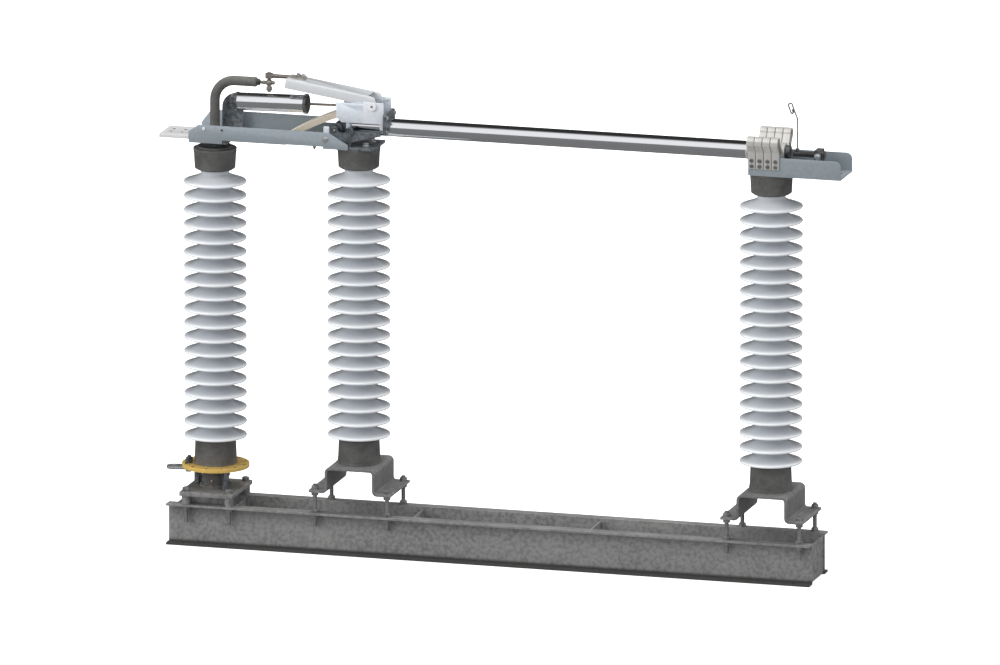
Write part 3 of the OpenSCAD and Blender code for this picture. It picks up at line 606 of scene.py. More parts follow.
WARM_STEEL = Finish("stained stainless steel", "bright_steel", (0.16, 0.14, 0.12), (0.4, 0.37, 0.33),
                    (0.25, 0.45), 0.8, 38.0, 2.0, (0.6, 0.57, 0.53), 0.6, 0.08, 0.12)
WHITE_METAL = Finish("bright washer", "bright_steel", (0.78, 0.79, 0.8), (0.92, 0.93, 0.94),
                     (0.25, 0.4), 0.15, 30.0, 1.3, (0.95, 0.95, 0.95), 0.3, 0.05, 0.05)
CEMENT = Finish("cement joint", "porcelain", (0.22, 0.22, 0.215), (0.36, 0.355, 0.34),
                (0.8, 0.95), 0.0, 60.0, 1.8, (0.4, 0.4, 0.4), 0.1, 0.2, 0.6)


def dress(piece: Object, finish: Finish, body: str) -> Object:
    """Give a finished piece its material and its body, and report it."""
    piece.data.materials.clear()
    piece.data.materials.append(finish.material())
    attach(piece, body)
    LOG.info("%s: %s on %s, %d faces", piece.name, finish.name, body, len(piece.data.polygons))
    return piece


# ---------- fasteners ----------
@dataclass(frozen=True)
class Fastener:
    """A bolt head or nut with its washer and, where it shows, the thread through it.

    It is modelled pointing up, with its seat at the origin. Sizes are in millimetres.
    """

    name: str
    across: float = 28.0
    high: float = 13.0
    washer: float = 18.0
    washer_high: float = 3.0
    thread: float = 9.0
    above: float = 0.0
    below: float = 0.0
    slotted: bool = False

    def head(self) -> Object:
        """The hexagon, or the round head of a slotted screw, with a chamfered crown."""
        release()
        sides = 24 if self.slotted else 6
        reach = self.across / 2 if self.slotted else self.across / math.sqrt(3)
        middle_z = self.washer_high + self.high / 2
        bpy.ops.mesh.primitive_cylinder_add(vertices=sides, radius=reach * MM, depth=self.high * MM,
                                            location=(0, 0, middle_z * MM))
        piece = named(self.name)
        fix_place()
        edit(piece, "FACE")
        pick_faces(piece, lambda centre, normal: normal.z > 0.9)
        bpy.ops.mesh.inset(thickness=self.across * 0.09 * MM, depth=self.high * 0.09 * MM)
        if self.slotted:
            bpy.ops.mesh.inset(thickness=self.across * 0.16 * MM, depth=0)
            bpy.ops.mesh.inset(thickness=self.across * 0.03 * MM, depth=-self.high * 0.4 * MM)
        bpy.ops.object.mode_set(mode="OBJECT")
        return soften(piece, 0.5 * MM, 2, 25)

    def ring(self) -> Object:
        """The washer, with rounded edges."""
        bore, rim, high = self.thread, self.washer, self.washer_high
        outline = [(bore, 0), (rim - 0.5, 0), (rim, 0.5), (rim, high - 0.6), (rim - 0.6, high), (bore, high),
                   (bore, 0)]
        return turned(self.name + " washer", outline, (0, 0, 0), steps=32)

    def shank(self) -> Object:
        """The threaded end above the nut and the plain or threaded part below the seat."""
        pitch, depth = 4.0, 0.7
        root = self.thread - depth
        height = -self.below + 0.8
        outline = [(0.0, -self.below), (root, height - 0.8)]
        top = self.washer_high + self.high + self.above
        while height < top - 2:
            outline += [(root, height), (root + depth, height + pitch * 0.5)]
            height += pitch
        outline += [(root, top - 1.2), (root - 1.4, top), (0.0, top)]
        return turned(self.name + " shank", outline, (0, 0, 0), steps=20)

    def pattern(self) -> Object:
        """The whole fastener as one piece."""
        parts = [self.head()]
        if self.washer_high:
            parts.append(self.ring())
        if self.above or self.below:
            parts.append(self.shank())
        return merged(self.name, parts)

    def fasten(self, places: Iterable[Sequence[float]], way: Way, finish: Finish, body: str) -> Object:
        """Put one at each place, all as one dressed piece."""
        pattern = self.pattern()
        piece = spread(self.name, pattern, places, way)
        bpy.data.objects.remove(pattern)
        piece.name = piece.data.name = self.name
        return dress(piece, finish, body)


def shade_holes(name: str, spots: Sequence[Sequence[float]], deep: float, body: str) -> None:
    """Dark sleeves that paint shade into a pattern of bolt holes, from each place upwards by a depth in
    millimetres.
    """
    inner, outer = 5.4, 6.9
    wall = [(inner, 0.3), (outer, 0.3), (outer, deep - 0.4), (inner, deep - 0.4), (inner, 0.3)]
    sleeve = turned(name + "_one", wall, (0, 0, 0), steps=24)
    # painted shade: the hole walls are lined with dark steel
    dress(spread(name, sleeve, spots), DARK_STEEL, body)
    bpy.data.objects.remove(sleeve)


def shade_hole_row(middle_x: float, low: float, high: float, name: str) -> None:
    """Dark sleeves that paint shade into the four holes of a terminal."""
    half_pitch = 25.0
    shade_holes(name, corners((middle_x, 0, low), half_pitch, half_pitch), (high - low) / MM, "base")


def corners(place: Vector | Sequence[float], x: float, y: float) -> list[Vector]:
    """Four points round a place, by millimetres along X and Y."""
    return [at(place, sx * x, sy * y) for sx in (-1, 1) for sy in (-1, 1)]


def joint_named(name: str) -> dict:
    """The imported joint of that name."""
    return next(joint for joint in frame["joints"] if joint["name"] == name)


# ---------- the sub-assemblies ----------
@dataclass
class Base:
    """Two steel channels back to back, joined by cross plates with fillet welds."""

    edge: float = 1.6
    weld: float = 5.0

    def build(self) -> None:
        """Model and dress the base."""
        for node in ("front_channel", "rear_channel"):
            dress(refined(node, node.replace("channel", "base_channel"), self.edge, 3), CHANNEL, "base")
        dress(refined("base_cross_plates", "base_stiffener_plates", 0.8), GALVANISED, "base")
        self.build_welds()

    def build_welds(self) -> None:
        """Fillet welds where each cross plate meets the two webs."""
        low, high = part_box("base_cross_plates")
        plates = bpy.data.objects["base_stiffener_plates"]
        places = sorted({round(v.co.x, 2) for v in plates.data.vertices})
        lefts = [x for i, x in enumerate(places) if i == 0 or x - places[i - 1] > 0.02]
        size, tall = self.weld, (high.z - low.z) / MM - 30
        outline = [(0, 0), (size, 0), (size * 0.62, size * 0.5), (size * 0.3, size * 0.8), (0, size)]
        rows = []
        for index, x in enumerate(lefts):
            for side in (1, -1):
                wall = high.y if side > 0 else low.y
                bead = cut_plate(f"weld {index}{side}", outline, tall, (x, wall, low.z + 0.015), Way.UP, 0.4)
                flip = Matrix.Diagonal((-1, -side, 1, 1))
                home = Matrix.Translation((x, wall, 0))
                bead.matrix_world = home @ flip @ home.inverted()
                hold(bead)
                fix_place()
                edit(bead)
                close_up()
                rows.append(bead)
        dress(merged("base_weld_beads", rows), GREY_STEEL, "base")


@dataclass
class Post:
    """One porcelain insulator between two metal caps."""

    name: str
    body: str
    sheds: int = 19
    shed_radius: float = 133.4
    core_radius: float = 60.0
    first_shed: float = 115.0
    last_shed: float = 154.0
    steps: int = 80

    def shed(self, height: float) -> list[tuple[float, float]]:
        """One shed's outline, from the core under it to the core over it."""
        rim, core = self.shed_radius, self.core_radius
        under = [(core, height + 8), (core + 3, height + 5.5), (rim - 46, height + 5),
                 (rim - 16, height + 3.2)]
        drip = arc((rim - 11.5, height + 3.4), 3.4, 200, 320, 4)
        lip = arc((rim - 6.0, height + 7.0), 6.0, -75, 62, 9)
        roof = [(rim - 12, height + 16), (rim - 34, height + 22.5), (core + 16, height + 33),
                (core + 5, height + 38), (core, height + 43)]
        return under + drip + lip + roof

    def build(self) -> None:
        """Model and dress the porcelain, its cement joints and its two caps."""
        low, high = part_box(self.name + "_porcelain")
        base_low, base_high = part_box(self.name + "_base_cap")
        top_low, top_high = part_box(self.name + "_top_cap")
        axis = Vector(((low.x + high.x) / 2, 0, base_low.z))
        tall = (top_high.z - base_low.z) / MM
        cap = (base_high.z - base_low.z) / MM
        crown_cap = (top_high.z - top_low.z) / MM
        pitch = (tall - self.first_shed - self.last_shed) / (self.sheds - 1)
        core = self.core_radius
        collar = core + 2.6
        outline = [(0.0, cap - 6), (collar, cap - 6), (collar, cap - 3), (core, cap + 2)]
        for index in range(self.sheds):
            outline += self.shed(self.first_shed + index * pitch)
        seat = tall - crown_cap
        outline += [(core, seat - 2), (collar, seat + 3), (collar, seat + 6), (0.0, seat + 6)]
        body = turned(self.name + "_glazed_post", outline, axis, steps=self.steps)
        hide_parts(self.name + "_porcelain")
        # the glaze whitens towards the shed rims as painted highlight
        glaze = Glaze(f"grey glaze {self.name}", "porcelain", (0.56, 0.59, 0.62), (0.66, 0.69, 0.72),
                      (0.08, 0.16), 0.0, 5.0, 1.2, (0.86, 0.88, 0.9), 0.15, 0.04, 0.03, coat=0.9,
                      axis_x=axis.x)
        dress(body, glaze, self.body)
        radius = (base_high.x - base_low.x) / 2 / MM
        dress(self.build_cap("_lower_cap", radius, cap, axis, Way.UP, "_base_cap"), CAST_CAP, self.body)
        crown = (axis.x, 0, top_high.z)
        upper = self.build_cap("_upper_cap", radius, crown_cap, crown, Way.DOWN, "_top_cap")
        dress(upper, CAST_CAP, self.body)
        ring = [(core + 2.8, 0), (core + 17, 0), (core + 16, 1.4), (core + 4, 2.6), (core + 2.8, 0)]
        joints = [turned(self.name + "_joint_low", ring, at(axis, z=cap - 0.6), steps=48),
                  turned(self.name + "_joint_high", ring, at(crown, z=-crown_cap + 0.6), Way.DOWN, 48)]
        dress(merged(self.name + "_cement_joints", joints), CEMENT, self.body)

    def build_cap(self, name: str, radius: float, high: float, place: Sequence[float], way: Way,
                  node: str) -> Object:
        """A tapered cup with a machined foot, a shallow groove and a rolled lip."""
        neck = radius - 8.5
        outline = [(0, 0), (radius - 1.2, 0), (radius, 1.2), (radius, 8), (radius - 0.8, 10),
                   (radius - 0.4, 13), (radius - 2.5, 24), (neck + 3.6, high - 24), (neck + 3.2, high - 14)]
        outline += [(neck + a, b) for a, b in arc((-2.0, high - 9), 5.0, 10, 85, 6)]
        outline += [(neck - 7, high - 3.6), (neck - 9, high - 1), (neck - 20, high - 0.6),
                    (neck - 21, high - 3), (0, high - 8)]
        cup = turned(self.name + name, outline, place, way, 72)
        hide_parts(self.name + node)
        return cup


@dataclass
class Pedestal:
    """The bent plate under a fixed post, on four levelling studs."""

    name: str
    stud_x: float = 159.0
    stud_y: float = 125.0
    stud: float = 8.6
    stud_above_foot: float = 23.0
    stud_above_nut: float = 8.0
    plate: float = 11.0

    def build(self) -> None:
        """Model and dress the plate, its studs and the bolts into the cap."""
        plate = refined(self.name + "_pedestal", self.name + "_bent_pedestal", 1.6, 3)
        dress(plate, GALVANISED, "base")
        low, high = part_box(self.name + "_pedestal")
        stud_low, stud_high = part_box(self.name + "_pedestal_bolts")
        centre = middle(self.name + "_pedestal")
        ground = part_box("front_channel")[1].z
        nut_on_foot = stud_high.z - self.stud_above_foot * MM
        stud = Fastener(self.name + "_stud", 28, 12, 17, 3, self.stud + 0.7, self.stud_above_nut,
                        (nut_on_foot - stud_low.z) / MM)
        whole = stud.fasten(corners((centre.x, 0, nut_on_foot), self.stud_x, self.stud_y), Way.UP,
                            GREY_STEEL, "base")
        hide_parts(self.name + "_pedestal_bolts")
        for name, height, way in (("_foot_nuts", low.z, Way.DOWN), ("_flange_nuts", ground, Way.UP),
                                  ("_under_nuts", ground - FLANGE * MM, Way.DOWN)):
            nut = Fastener(self.name + name, 28, 12, 17, 3, self.stud)
            nut.fasten(corners((centre.x, 0, height), self.stud_x, self.stud_y), way, GREY_STEEL, "base")
        seats = corners((centre.x, 0, high.z - self.plate * MM), CAP_BOLTS, CAP_BOLTS)
        Fastener(self.name + "_cap_bolts", 24, 10, 15, 2.5, 8).fasten(seats, Way.DOWN, GREY_STEEL, "base")


@dataclass
class TurningDrive:
    """The bearing that carries the turning post, its disc, lever and stops."""

    plate_edge: float = 1.4
    bolt_x: float = 95.0
    bolt_y: float = 125.0
    lever_angle: float = 192.0
    clamp_reach: float = 114.0
    clamp_half: float = 18.0
    hole_inset: float = 17.0
    holes: int = 12
    disc: float = 16.0
    housing_screws: int = 6
    screw_circle: float = 61.0

    def build(self) -> None:
        """Model and dress all of the drive."""
        axis = middle("rotor_porcelain")
        plate_low, plate_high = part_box("bearing_plate")
        dress(refined("bearing_plate", "bearing_base_plate", self.plate_edge), GALVANISED, "base")
        self.build_housing(axis)
        self.build_studs(axis, plate_low.z, plate_high.z)
        dress(refined("turn_stops", "stop_blocks", 1.2), DARK_CAST, "base")
        dress(refined("turning_disc", "drilled_turning_disc", 1.2, 3), CHROMATE, "rotor")
        dress(refined("operating_lever", "flat_operating_lever", 0.9), BRIGHT, "rotor")
        disc_low, disc_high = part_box("turning_disc")
        turn = math.radians(self.lever_angle)
        top, reach = Vector((axis.x, 0, disc_high.z)), self.clamp_reach
        spots = [at(top, reach * math.cos(turn) - side * math.sin(turn),
                    reach * math.sin(turn) + side * math.cos(turn))
                 for side in (-self.clamp_half, self.clamp_half)]
        Fastener("disc_clamp_nuts", 27, 13, 16, 3, 8.2, 9).fasten(spots, Way.UP, DARK_STEEL, "rotor")
        rim = (disc_high.x - disc_low.x) / 2 / MM - self.hole_inset
        angles = [turn + math.tau * (index + 0.5) / self.holes for index in range(self.holes)]
        holes = [at(top, rim * math.cos(angle), rim * math.sin(angle), -self.disc) for angle in angles]
        # painted shade: dark sleeves in the disc's holes
        shade_holes("disc_hole_sleeves", holes, self.disc, "rotor")

    def build_housing(self, axis: Vector) -> None:
        """The bearing housing: a flanged cup with a grease nipple, a seal groove and six screws."""
        low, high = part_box("bearing_housing")
        tall = (high.z - low.z) / MM
        outline = [(0, 0), (66.5, 0), (67.5, 1), (67.5, 10.5), (66, 12), (58, 12.4), (55, 15), (54.5, 18),
                   (54.5, tall - 12), (53, tall - 10.5), (53, tall - 8.5), (54.5, tall - 7),
                   (54.5, tall - 1.5), (53, tall), (27, tall), (27, tall - 2), (0, tall - 2)]
        housing = turned("bearing_cup", outline, (axis.x, 0, low.z), steps=72)
        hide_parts("bearing_housing")
        dress(housing, CAST_CAP, "base")
        angles = [math.tau * (index + 0.5) / self.housing_screws for index in range(self.housing_screws)]
        spots = [at((axis.x, 0, low.z + 0.012), self.screw_circle * math.cos(angle),
                    self.screw_circle * math.sin(angle)) for angle in angles]
        Fastener("housing_screws", 10, 5, 6, 1, 3).fasten(spots, Way.UP, GREY_STEEL, "base")
        nipple = [(0, 0), (4.5, 0), (4.5, 4), (2.6, 6), (2.6, 9), (3.6, 11), (3.0, 14), (1.2, 15), (0, 15)]
        place = (axis.x, low.y + 0.0135, low.z + 0.034)
        dress(turned("grease_nipple", nipple, place, Way.FRONT, 20), BRIGHT, "base")

    def build_studs(self, axis: Vector, under: float, top: float) -> None:
        """The long studs and spacers between the bearing plate and the channels."""
        low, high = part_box("bearing_bolts")
        stud = Fastener("bearing_stud", 28, 13, 17, 3, 9.0, (high.z - top) / MM - 16, (top - low.z) / MM)
        whole = stud.fasten(corners((axis.x, 0, top), self.bolt_x, self.bolt_y), Way.UP, GREY_STEEL, "base")
        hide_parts("bearing_bolts")
        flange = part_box("front_channel")[1].z
        gap = (under - flange) / MM
        ring = [(10, 0), (18.2, 0), (19, 0.8), (19, gap - 0.8), (18.2, gap), (10, gap), (10, 0)]
        pattern = turned("spacer", ring, (0, 0, 0), steps=36)
        spacers = spread("bearing_spacers", pattern, corners((axis.x, 0, flange), self.bolt_x, self.bolt_y))
        bpy.data.objects.remove(pattern)
        dress(spacers, GALVANISED, "base")
        below = Fastener("bearing_under_nuts", 28, 12, 17, 3, 9)
        seats = corners((axis.x, 0, flange - FLANGE * MM), self.bolt_x, self.bolt_y)
        below.fasten(seats, Way.DOWN, GREY_STEEL, "base")


@dataclass
class Crank:
    """The bent pipe on top of the turning post, and its ball pin."""

    pipe: float = 21.0
    bend: float = 88.0
    foot: float = 75.0
    hub: float = 33.0
    reach: float = 0.240

    def build(self) -> None:
        """Model and dress the crank."""
        low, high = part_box("crank_pipe")
        axis = middle("rotor_porcelain")
        crank_z = high.z / MM - self.pipe
        tall = crank_z - low.z / MM
        release()
        bpy.ops.mesh.primitive_circle_add(vertices=40, radius=self.pipe * MM, location=(0, 0, 27 * MM))
        piece = named("bent_crank_pipe")
        fix_place()
        edit(piece, "EDGE")
        rise = (tall - self.bend - 27) * MM
        bpy.ops.mesh.extrude_region_move(TRANSFORM_OT_translate={"value": (0, 0, rise)})
        centre = (self.bend * MM, 0, (tall - self.bend) * MM)
        bpy.ops.mesh.spin(steps=14, angle=math.radians(90), center=centre, axis=(0, -1, 0))
        ahead = (high.x - axis.x) / MM - self.bend
        for step, size in ((ahead - 5, 1.0), (5, 0.78), (0.01, 0.5), (-8, 1.0)):
            bpy.ops.mesh.extrude_region_move(TRANSFORM_OT_translate={"value": (step * MM, 0, 0)})
            bpy.ops.transform.resize(value=(1, size, size), center_override=(0, 0, tall * MM))
        bpy.ops.mesh.edge_face_add()
        close_up()
        settle(piece, (axis.x, 0, low.z))
        apply_all(piece, 35)
        rim, hub, pipe = self.foot, self.hub, self.pipe
        foot = [(0, 0), (rim - 1, 0), (rim, 1), (rim, 7), (rim - 1, 8), (hub + 5, 8), (hub + 1.5, 9),
                (hub, 12), (hub, 25.5), (hub - 1.5, 27), (pipe + 5, 27), (pipe + 3, 29),
                (pipe + 0.4, 32.5), (pipe - 2, 33), (pipe - 2, 20), (0, 20)]
        base = turned("crank_foot", foot, (axis.x, 0, low.z), steps=56)
        whole = merged("bent_crank_pipe", [piece, base])
        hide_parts("crank_pipe")
        dress(whole, PIPE, "rotor")
        self.build_pin(axis, high.x)

    def build_pin(self, axis: Vector, pipe_end: float) -> None:
        """The threaded stud with its lock nut, the ball and its pin."""
        low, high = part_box("crank_pin")
        crank_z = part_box("crank_pipe")[1].z - self.pipe * MM
        ball = Vector((axis.x + self.reach, 0, crank_z))
        run = (ball.x - pipe_end) / MM
        stud = [(0, -4), (7, -4)]
        stud += [point for i in range(5) for point in ((6.3, i * 4.0), (7.2, i * 4.0 + 2))]
        stud += [(6.6, 21), (8.4, 24), (8.4, run - 18), (6.4, run - 15), (6.4, run - 10), (0, run - 10)]
        parts = [turned("stud", stud, (pipe_end, 0, crank_z), Way.JAW, 24)]
        ring = [(0, -14.6), (8, -13), (12.4, -9), (14.6, -3.6), (15, 0), (14.6, 3.6), (12.4, 9), (8, 13),
                (0, 14.6)]
        parts.append(turned("ball", ring, ball, Way.UP, 32))
        down = (ball.z - low.z) / MM
        up = (high.z - ball.z) / MM
        pin = [(0, -down), (6.6, -down), (8, -down + 1.4), (8, up), (0, up)]
        parts.append(turned("pin", pin, ball, Way.UP, 28))
        tip = [(0, 9), (8, 9), (8, 22.5), (6.5, 24), (0, 24)]
        parts.append(turned("tip", tip, ball, Way.JAW, 28))
        piece = merged("crank_ball_pin", parts)
        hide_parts("crank_pin")
        dress(piece, WARM_STEEL, "rotor")
        lock = Fastener("crank_lock_nut", 24, 11, 0, 0, 7)
        lock.fasten([(pipe_end + 0.0004, 0, crank_z)], Way.JAW, DARK_STEEL, "rotor")
        lower = Fastener("ball_pin_nut", 23, 15, 11, 2, 8)
        lower.fasten([at(ball, z=-16.5)], Way.DOWN, WARM_STEEL, "rotor")


@dataclass
class HingeFrame:
    """The two walls over the turning and hinge posts, the terminal bar, and what is fixed to them."""

    wall_edge: float = 1.0
    terminal_edge: float = 1.2
    pad_middle: float = 61.0
    wall_bolt: tuple[float, float] = (0.515, 1.795)
    guide_screw: tuple[float, float] = (-0.020, 1.809)
    guide_pins: tuple[tuple[float, float], ...] = ((0.060, 1.807), (0.076, 1.757))
    bar_bolts_x: tuple[float, float] = (235.0, 130.0)
    bar_bolts_y: float = 56.0

    def build(self) -> None:
        """Model and dress the frame."""
        axis, post = middle("rotor_porcelain"), middle("hinge_porcelain")
        low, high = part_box("hinge_frame")
        dress(refined("hinge_frame", "hinge_frame_walls", self.wall_edge), FRAME, "base")
        dress(refined("terminal_bar", "terminal_flat_bar", self.terminal_edge), BARE, "base")
        dress(refined("top_bearing", "upper_guide_bearing", 1.0), DARK_CAST, "base")
        dress(refined("frame_foot_plate", "hinge_foot_plate", 1.0), DARK_CAST, "base")
        dress(refined("spring_bracket", "spring_upright", 1.0), DARK_CAST, "base")
        front, rear = low.y, high.y
        for name, y, way in (("front", front, Way.FRONT), ("rear", rear, Way.REAR)):
            fixings = ((Fastener(name + "_wall_bolt", 19, 8, 14, 1.6, 6), [self.wall_bolt], BRIGHT),
                       (Fastener(name + "_guide_screw", 13, 4, 0, 0, 3, slotted=True),
                        [self.guide_screw], WHITE_METAL),
                       (Fastener(name + "_guide_pins", 9, 3, 0, 0, 3, slotted=True),
                        self.guide_pins, DARK_STEEL))
            for fixing, spots, finish in fixings:
                fixing.fasten([(axis.x + x, y, z) for x, z in spots], way, finish, "base")
        self.build_tab(axis, front)
        tip = Fastener("wall_tie_stud", 13, 7, 9, 1.5, 5, 7)
        tip.fasten([(axis.x + 0.465, front + 0.012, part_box("hinge_top_cap")[1].z + 0.0092)], Way.DOWN,
                   GREY_STEEL, "base")
        bar_low, bar_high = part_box("terminal_bar")
        spots = [at((axis.x, 0, bar_high.z), x, y) for x in self.bar_bolts_x
                 for y in (-self.bar_bolts_y, self.bar_bolts_y)]
        Fastener("bar_bolts", 19, 8, 13, 2, 6).fasten(spots, Way.UP, BRIGHT, "base")
        # painted shade: dark sleeves in the terminal bar's holes
        shade_hole_row(bar_low.x + self.pad_middle * MM, bar_low.z, bar_high.z, "bar_hole_sleeves")
        self.build_foot_bolts(post)

    def build_tab(self, axis: Vector, front: float) -> None:
        """The small lifting tab welded to the top of the front wall."""
        outline = [(0, 0), (25, 0), (25, 27), (22, 30), (3, 30), (0, 27)]
        place = (axis.x + 0.508, front + 0.0055, 1.8215)
        dress(cut_plate("front_wall_tab", outline, 5, place, Way.FRONT, 0.7), BOX_SHEET, "base")

    def build_foot_bolts(self, post: Vector) -> None:
        """The bolts that hold the foot plate and the hinge casting on the post's cap."""
        spots = corners((post.x, 0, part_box("frame_foot_plate")[1].z), CAP_BOLTS, CAP_BOLTS)
        Fastener("foot_plate_bolts", 24, 11, 17, 2.5, 8).fasten(spots, Way.UP, BRIGHT, "base")


@dataclass
class Strap:
    """The laminated conductor strap that carries the current from the bar to the moving hinge."""

    leaves: int = 7
    leaf: float = 3.0
    half: float = 50.0
    radius: float = 1300.0
    slope: float = 33.5
    gap: float = 0.55
    steps: int = 40

    def build(self) -> None:
        """Model the leaves on one long bend between the bar and the yoke."""
        low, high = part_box("conductor_strap")
        long = (high.x - low.x) / MM
        strap = merged("laminated_strap", [self.build_leaf(i, low, long) for i in range(self.leaves)])
        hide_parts("conductor_strap")
        strap.data.materials.clear()
        strap.data.materials.append(STRAP.material())
        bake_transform(strap)
        LOG.info("%s: %s from base to yoke, %d faces", strap.name, STRAP.name, len(strap.data.polygons))

    def build_leaf(self, index: int, low: Vector, long: float) -> Object:
        """One thin leaf, traced as a curve and given its thickness and width."""
        radius = self.radius - index * (self.leaf + self.gap) - self.leaf
        start = math.radians(self.slope)
        centre = (self.radius * math.sin(start), -self.radius * math.cos(start))
        runs = [long * step / self.steps for step in range(self.steps + 1)]
        bend = [(x, centre[1] + math.sqrt(radius ** 2 - (x - centre[0]) ** 2)) for x in runs]
        points = [(x, z) for x, z in bend if z > 0.3]
        piece = traced(f"leaf {index}", points)
        bpy.ops.mesh.select_all(action="SELECT")
        bpy.ops.mesh.extrude_region_move(TRANSFORM_OT_translate={"value": (0, 2 * self.half * MM, 0)})
        close_up()
        settle(piece, (low.x, -self.half * MM, low.z))
        hold(piece)
        wall = piece.modifiers.new("leaf", "SOLIDIFY")
        wall.thickness = self.leaf * MM
        wall.offset = 0.0
        apply_all(piece)
        return soften(piece, 0.3 * MM, 1, 40)


@dataclass
class SpringBalancer:
    """The counterbalance spring's tube, its rod and their pivots."""

    tube: float = 38.0
    ring: float = 43.0
    long: float = 316.0
    start: float = 14.0
    screw_angles: tuple[float, ...] = (20.0, 140.0, 260.0)
    nut_z: float = 21.0
    upright_bolts_x: tuple[float, float] = (-47.0, 15.0)
    upright_y: float = 55.0
    upright_z: float = -62.0

    def aim(self) -> tuple[Vector, Matrix]:
        """The pivot's place, and the turn that lays +X along the spring."""
        pivot = Vector(joint_named("spring_swivel")["pos_m"])
        ahead = Vector(joint_named("spring_slide")["axis"]).normalized()
        if ahead.x < 0:
            ahead.negate()
        return pivot, Matrix.Rotation(-math.asin(ahead.z), 4, "Y")

    def build(self) -> None:
        """Model and dress the tube and the rod."""
        pivot, lie = self.aim()
        tube, start, end = self.tube, self.start, self.start + self.long
        shell = [(tube, start + 9), (tube, end - 9), (tube - 3, end - 9), (tube - 3, start + 9),
                 (tube, start + 9)]
        barrel = self.lay("polished_spring_tube", shell, pivot, lie)
        rim = self.ring - 2
        near = [(0, start + 1), (tube - 1, start), (rim - 1, start), (rim, start + 1), (rim, start + 10),
                (rim - 1, start + 11), (tube - 1, start + 11), (0, start + 10)]
        far = [(6.7, end - 13), (tube - 1, end - 13), (self.ring, end - 12), (self.ring, end - 1),
               (self.ring - 1, end), (tube - 3, end), (tube - 4, end - 2), (10, end - 2), (8, end + 1),
               (6.7, end + 1), (6.7, end - 13)]
        parts = [self.lay("first", near, pivot, lie), self.lay("last", far, pivot, lie)]
        outline = [(-start, -9), (-4, -12), (6, -12), (12, -6), (12, 6), (6, 12), (-4, 12), (-start, 9)]
        lug = cut_plate("lug", outline, 18, (0, 0, -0.009), Way.UP, 1.0)
        parts.append(settle(lug, pivot, Matrix.Rotation(math.pi, 4, "Z")))
        ends = merged("spring_tube_ends", parts)
        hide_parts("spring_tube")
        dress(barrel, POLISHED, "spring_barrel")
        dress(ends, DARK_STEEL, "spring_barrel")
        pattern = Fastener("ring screw", 8, 2.6, 0, 0, 2, slotted=True).pattern()
        screws = []
        for x, seat in ((start + 5, self.ring - 2.4), (end - 6, self.ring - 0.4)):
            for angle in self.screw_angles:
                screw = settle(twin(pattern), (x * MM, 0, seat * MM))
                settle(screw, (0, 0, 0), Matrix.Rotation(math.radians(angle), 4, "X"))
                screws.append(settle(screw, pivot, lie))
        bpy.data.objects.remove(pattern)
        dress(merged("spring_ring_screws", screws), BRIGHT, "spring_barrel")
        self.build_rod(pivot, lie, end)
        nut = Fastener("spring_pivot_nut", 19, 8, 11, 1.5, 6)
        nut.fasten([at(pivot, z=self.nut_z)], Way.UP, BRIGHT, "base")
        sides = [at(pivot, x, self.upright_y, self.upright_z) for x in self.upright_bolts_x]
        Fastener("upright_bolts", 17, 7, 11, 1.5, 5).fasten(sides, Way.REAR, BRIGHT, "base")

    def lay(self, name: str, outline: Outline, pivot: Vector, lie: Matrix) -> Object:
        """Turn an outline about the spring's axis and lay it in its place."""
        return settle(turned(name, outline, (0, 0, 0), Way.JAW, 72), pivot, lie)

    def build_rod(self, pivot: Vector, lie: Matrix, end: float) -> None:
        """The rod with its eye, and the piston on its hidden end."""
        reach = (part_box("spring_rod")[1].x - pivot.x) / MM / lie[0][0] - 10
        rod = [(0, end - 55), (32, end - 55), (32, end - 42), (5.5, end - 42), (5.5, reach - 9),
               (7.5, reach - 7), (7.5, reach - 2), (0, reach - 2)]
        ring = [(0, -7), (9.4, -7), (10, -6), (10, 6), (9.4, 7), (6, 7), (6, 9), (0, 9)]
        parts = [self.lay("rod", rod, pivot, lie)]
        knob = turned("eye", ring, (reach * MM, 0, 0), Way.FRONT, 36)
        parts.append(settle(knob, pivot, lie))
        piece = merged("spring_push_rod", parts)
        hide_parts("spring_rod")
        dress(piece, WARM_STEEL, "spring_piston")


@dataclass
class Hinge:
    """The cast cheeks, their pin and the yoke that swings between them."""

    bolt_inset: float = 0.031
    bolts_x: tuple[float, float] = (0.020, 0.050)

    def build(self) -> None:
        """Model and dress the hinge."""
        dress(refined("hinge_casting", "hinge_cheeks", 1.6), DARK_CAST, "base")
        dress(refined("hinge_pin", "hinge_pivot_pin", 0.8), DARK_STEEL, "base")
        dress(refined("hinge_yoke", "swinging_yoke", 1.4), DARK_CAST, "yoke")
        low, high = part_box("hinge_pin")
        axis = middle("hinge_pin")
        ring = [(0, 0), (4.4, 0), (5, 0.6), (5, 2.4), (4.0, 3.4), (0, 3.4)]
        caps = [turned("cap", ring, (axis.x, y, axis.z), way, 28)
                for y, way in ((low.y, Way.FRONT), (high.y, Way.REAR))]
        dress(merged("pin_grease_caps", caps), BRIGHT, "base")
        reach = -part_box("hinge_casting")[0].y - self.bolt_inset
        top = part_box("frame_foot_plate")[1].z
        seats = [(axis.x + x, y, top) for y in (-reach, reach) for x in self.bolts_x]
        Fastener("cheek_bolts", 17, 8, 0, 0, 5).fasten(seats, Way.UP, GREY_STEEL, "base")


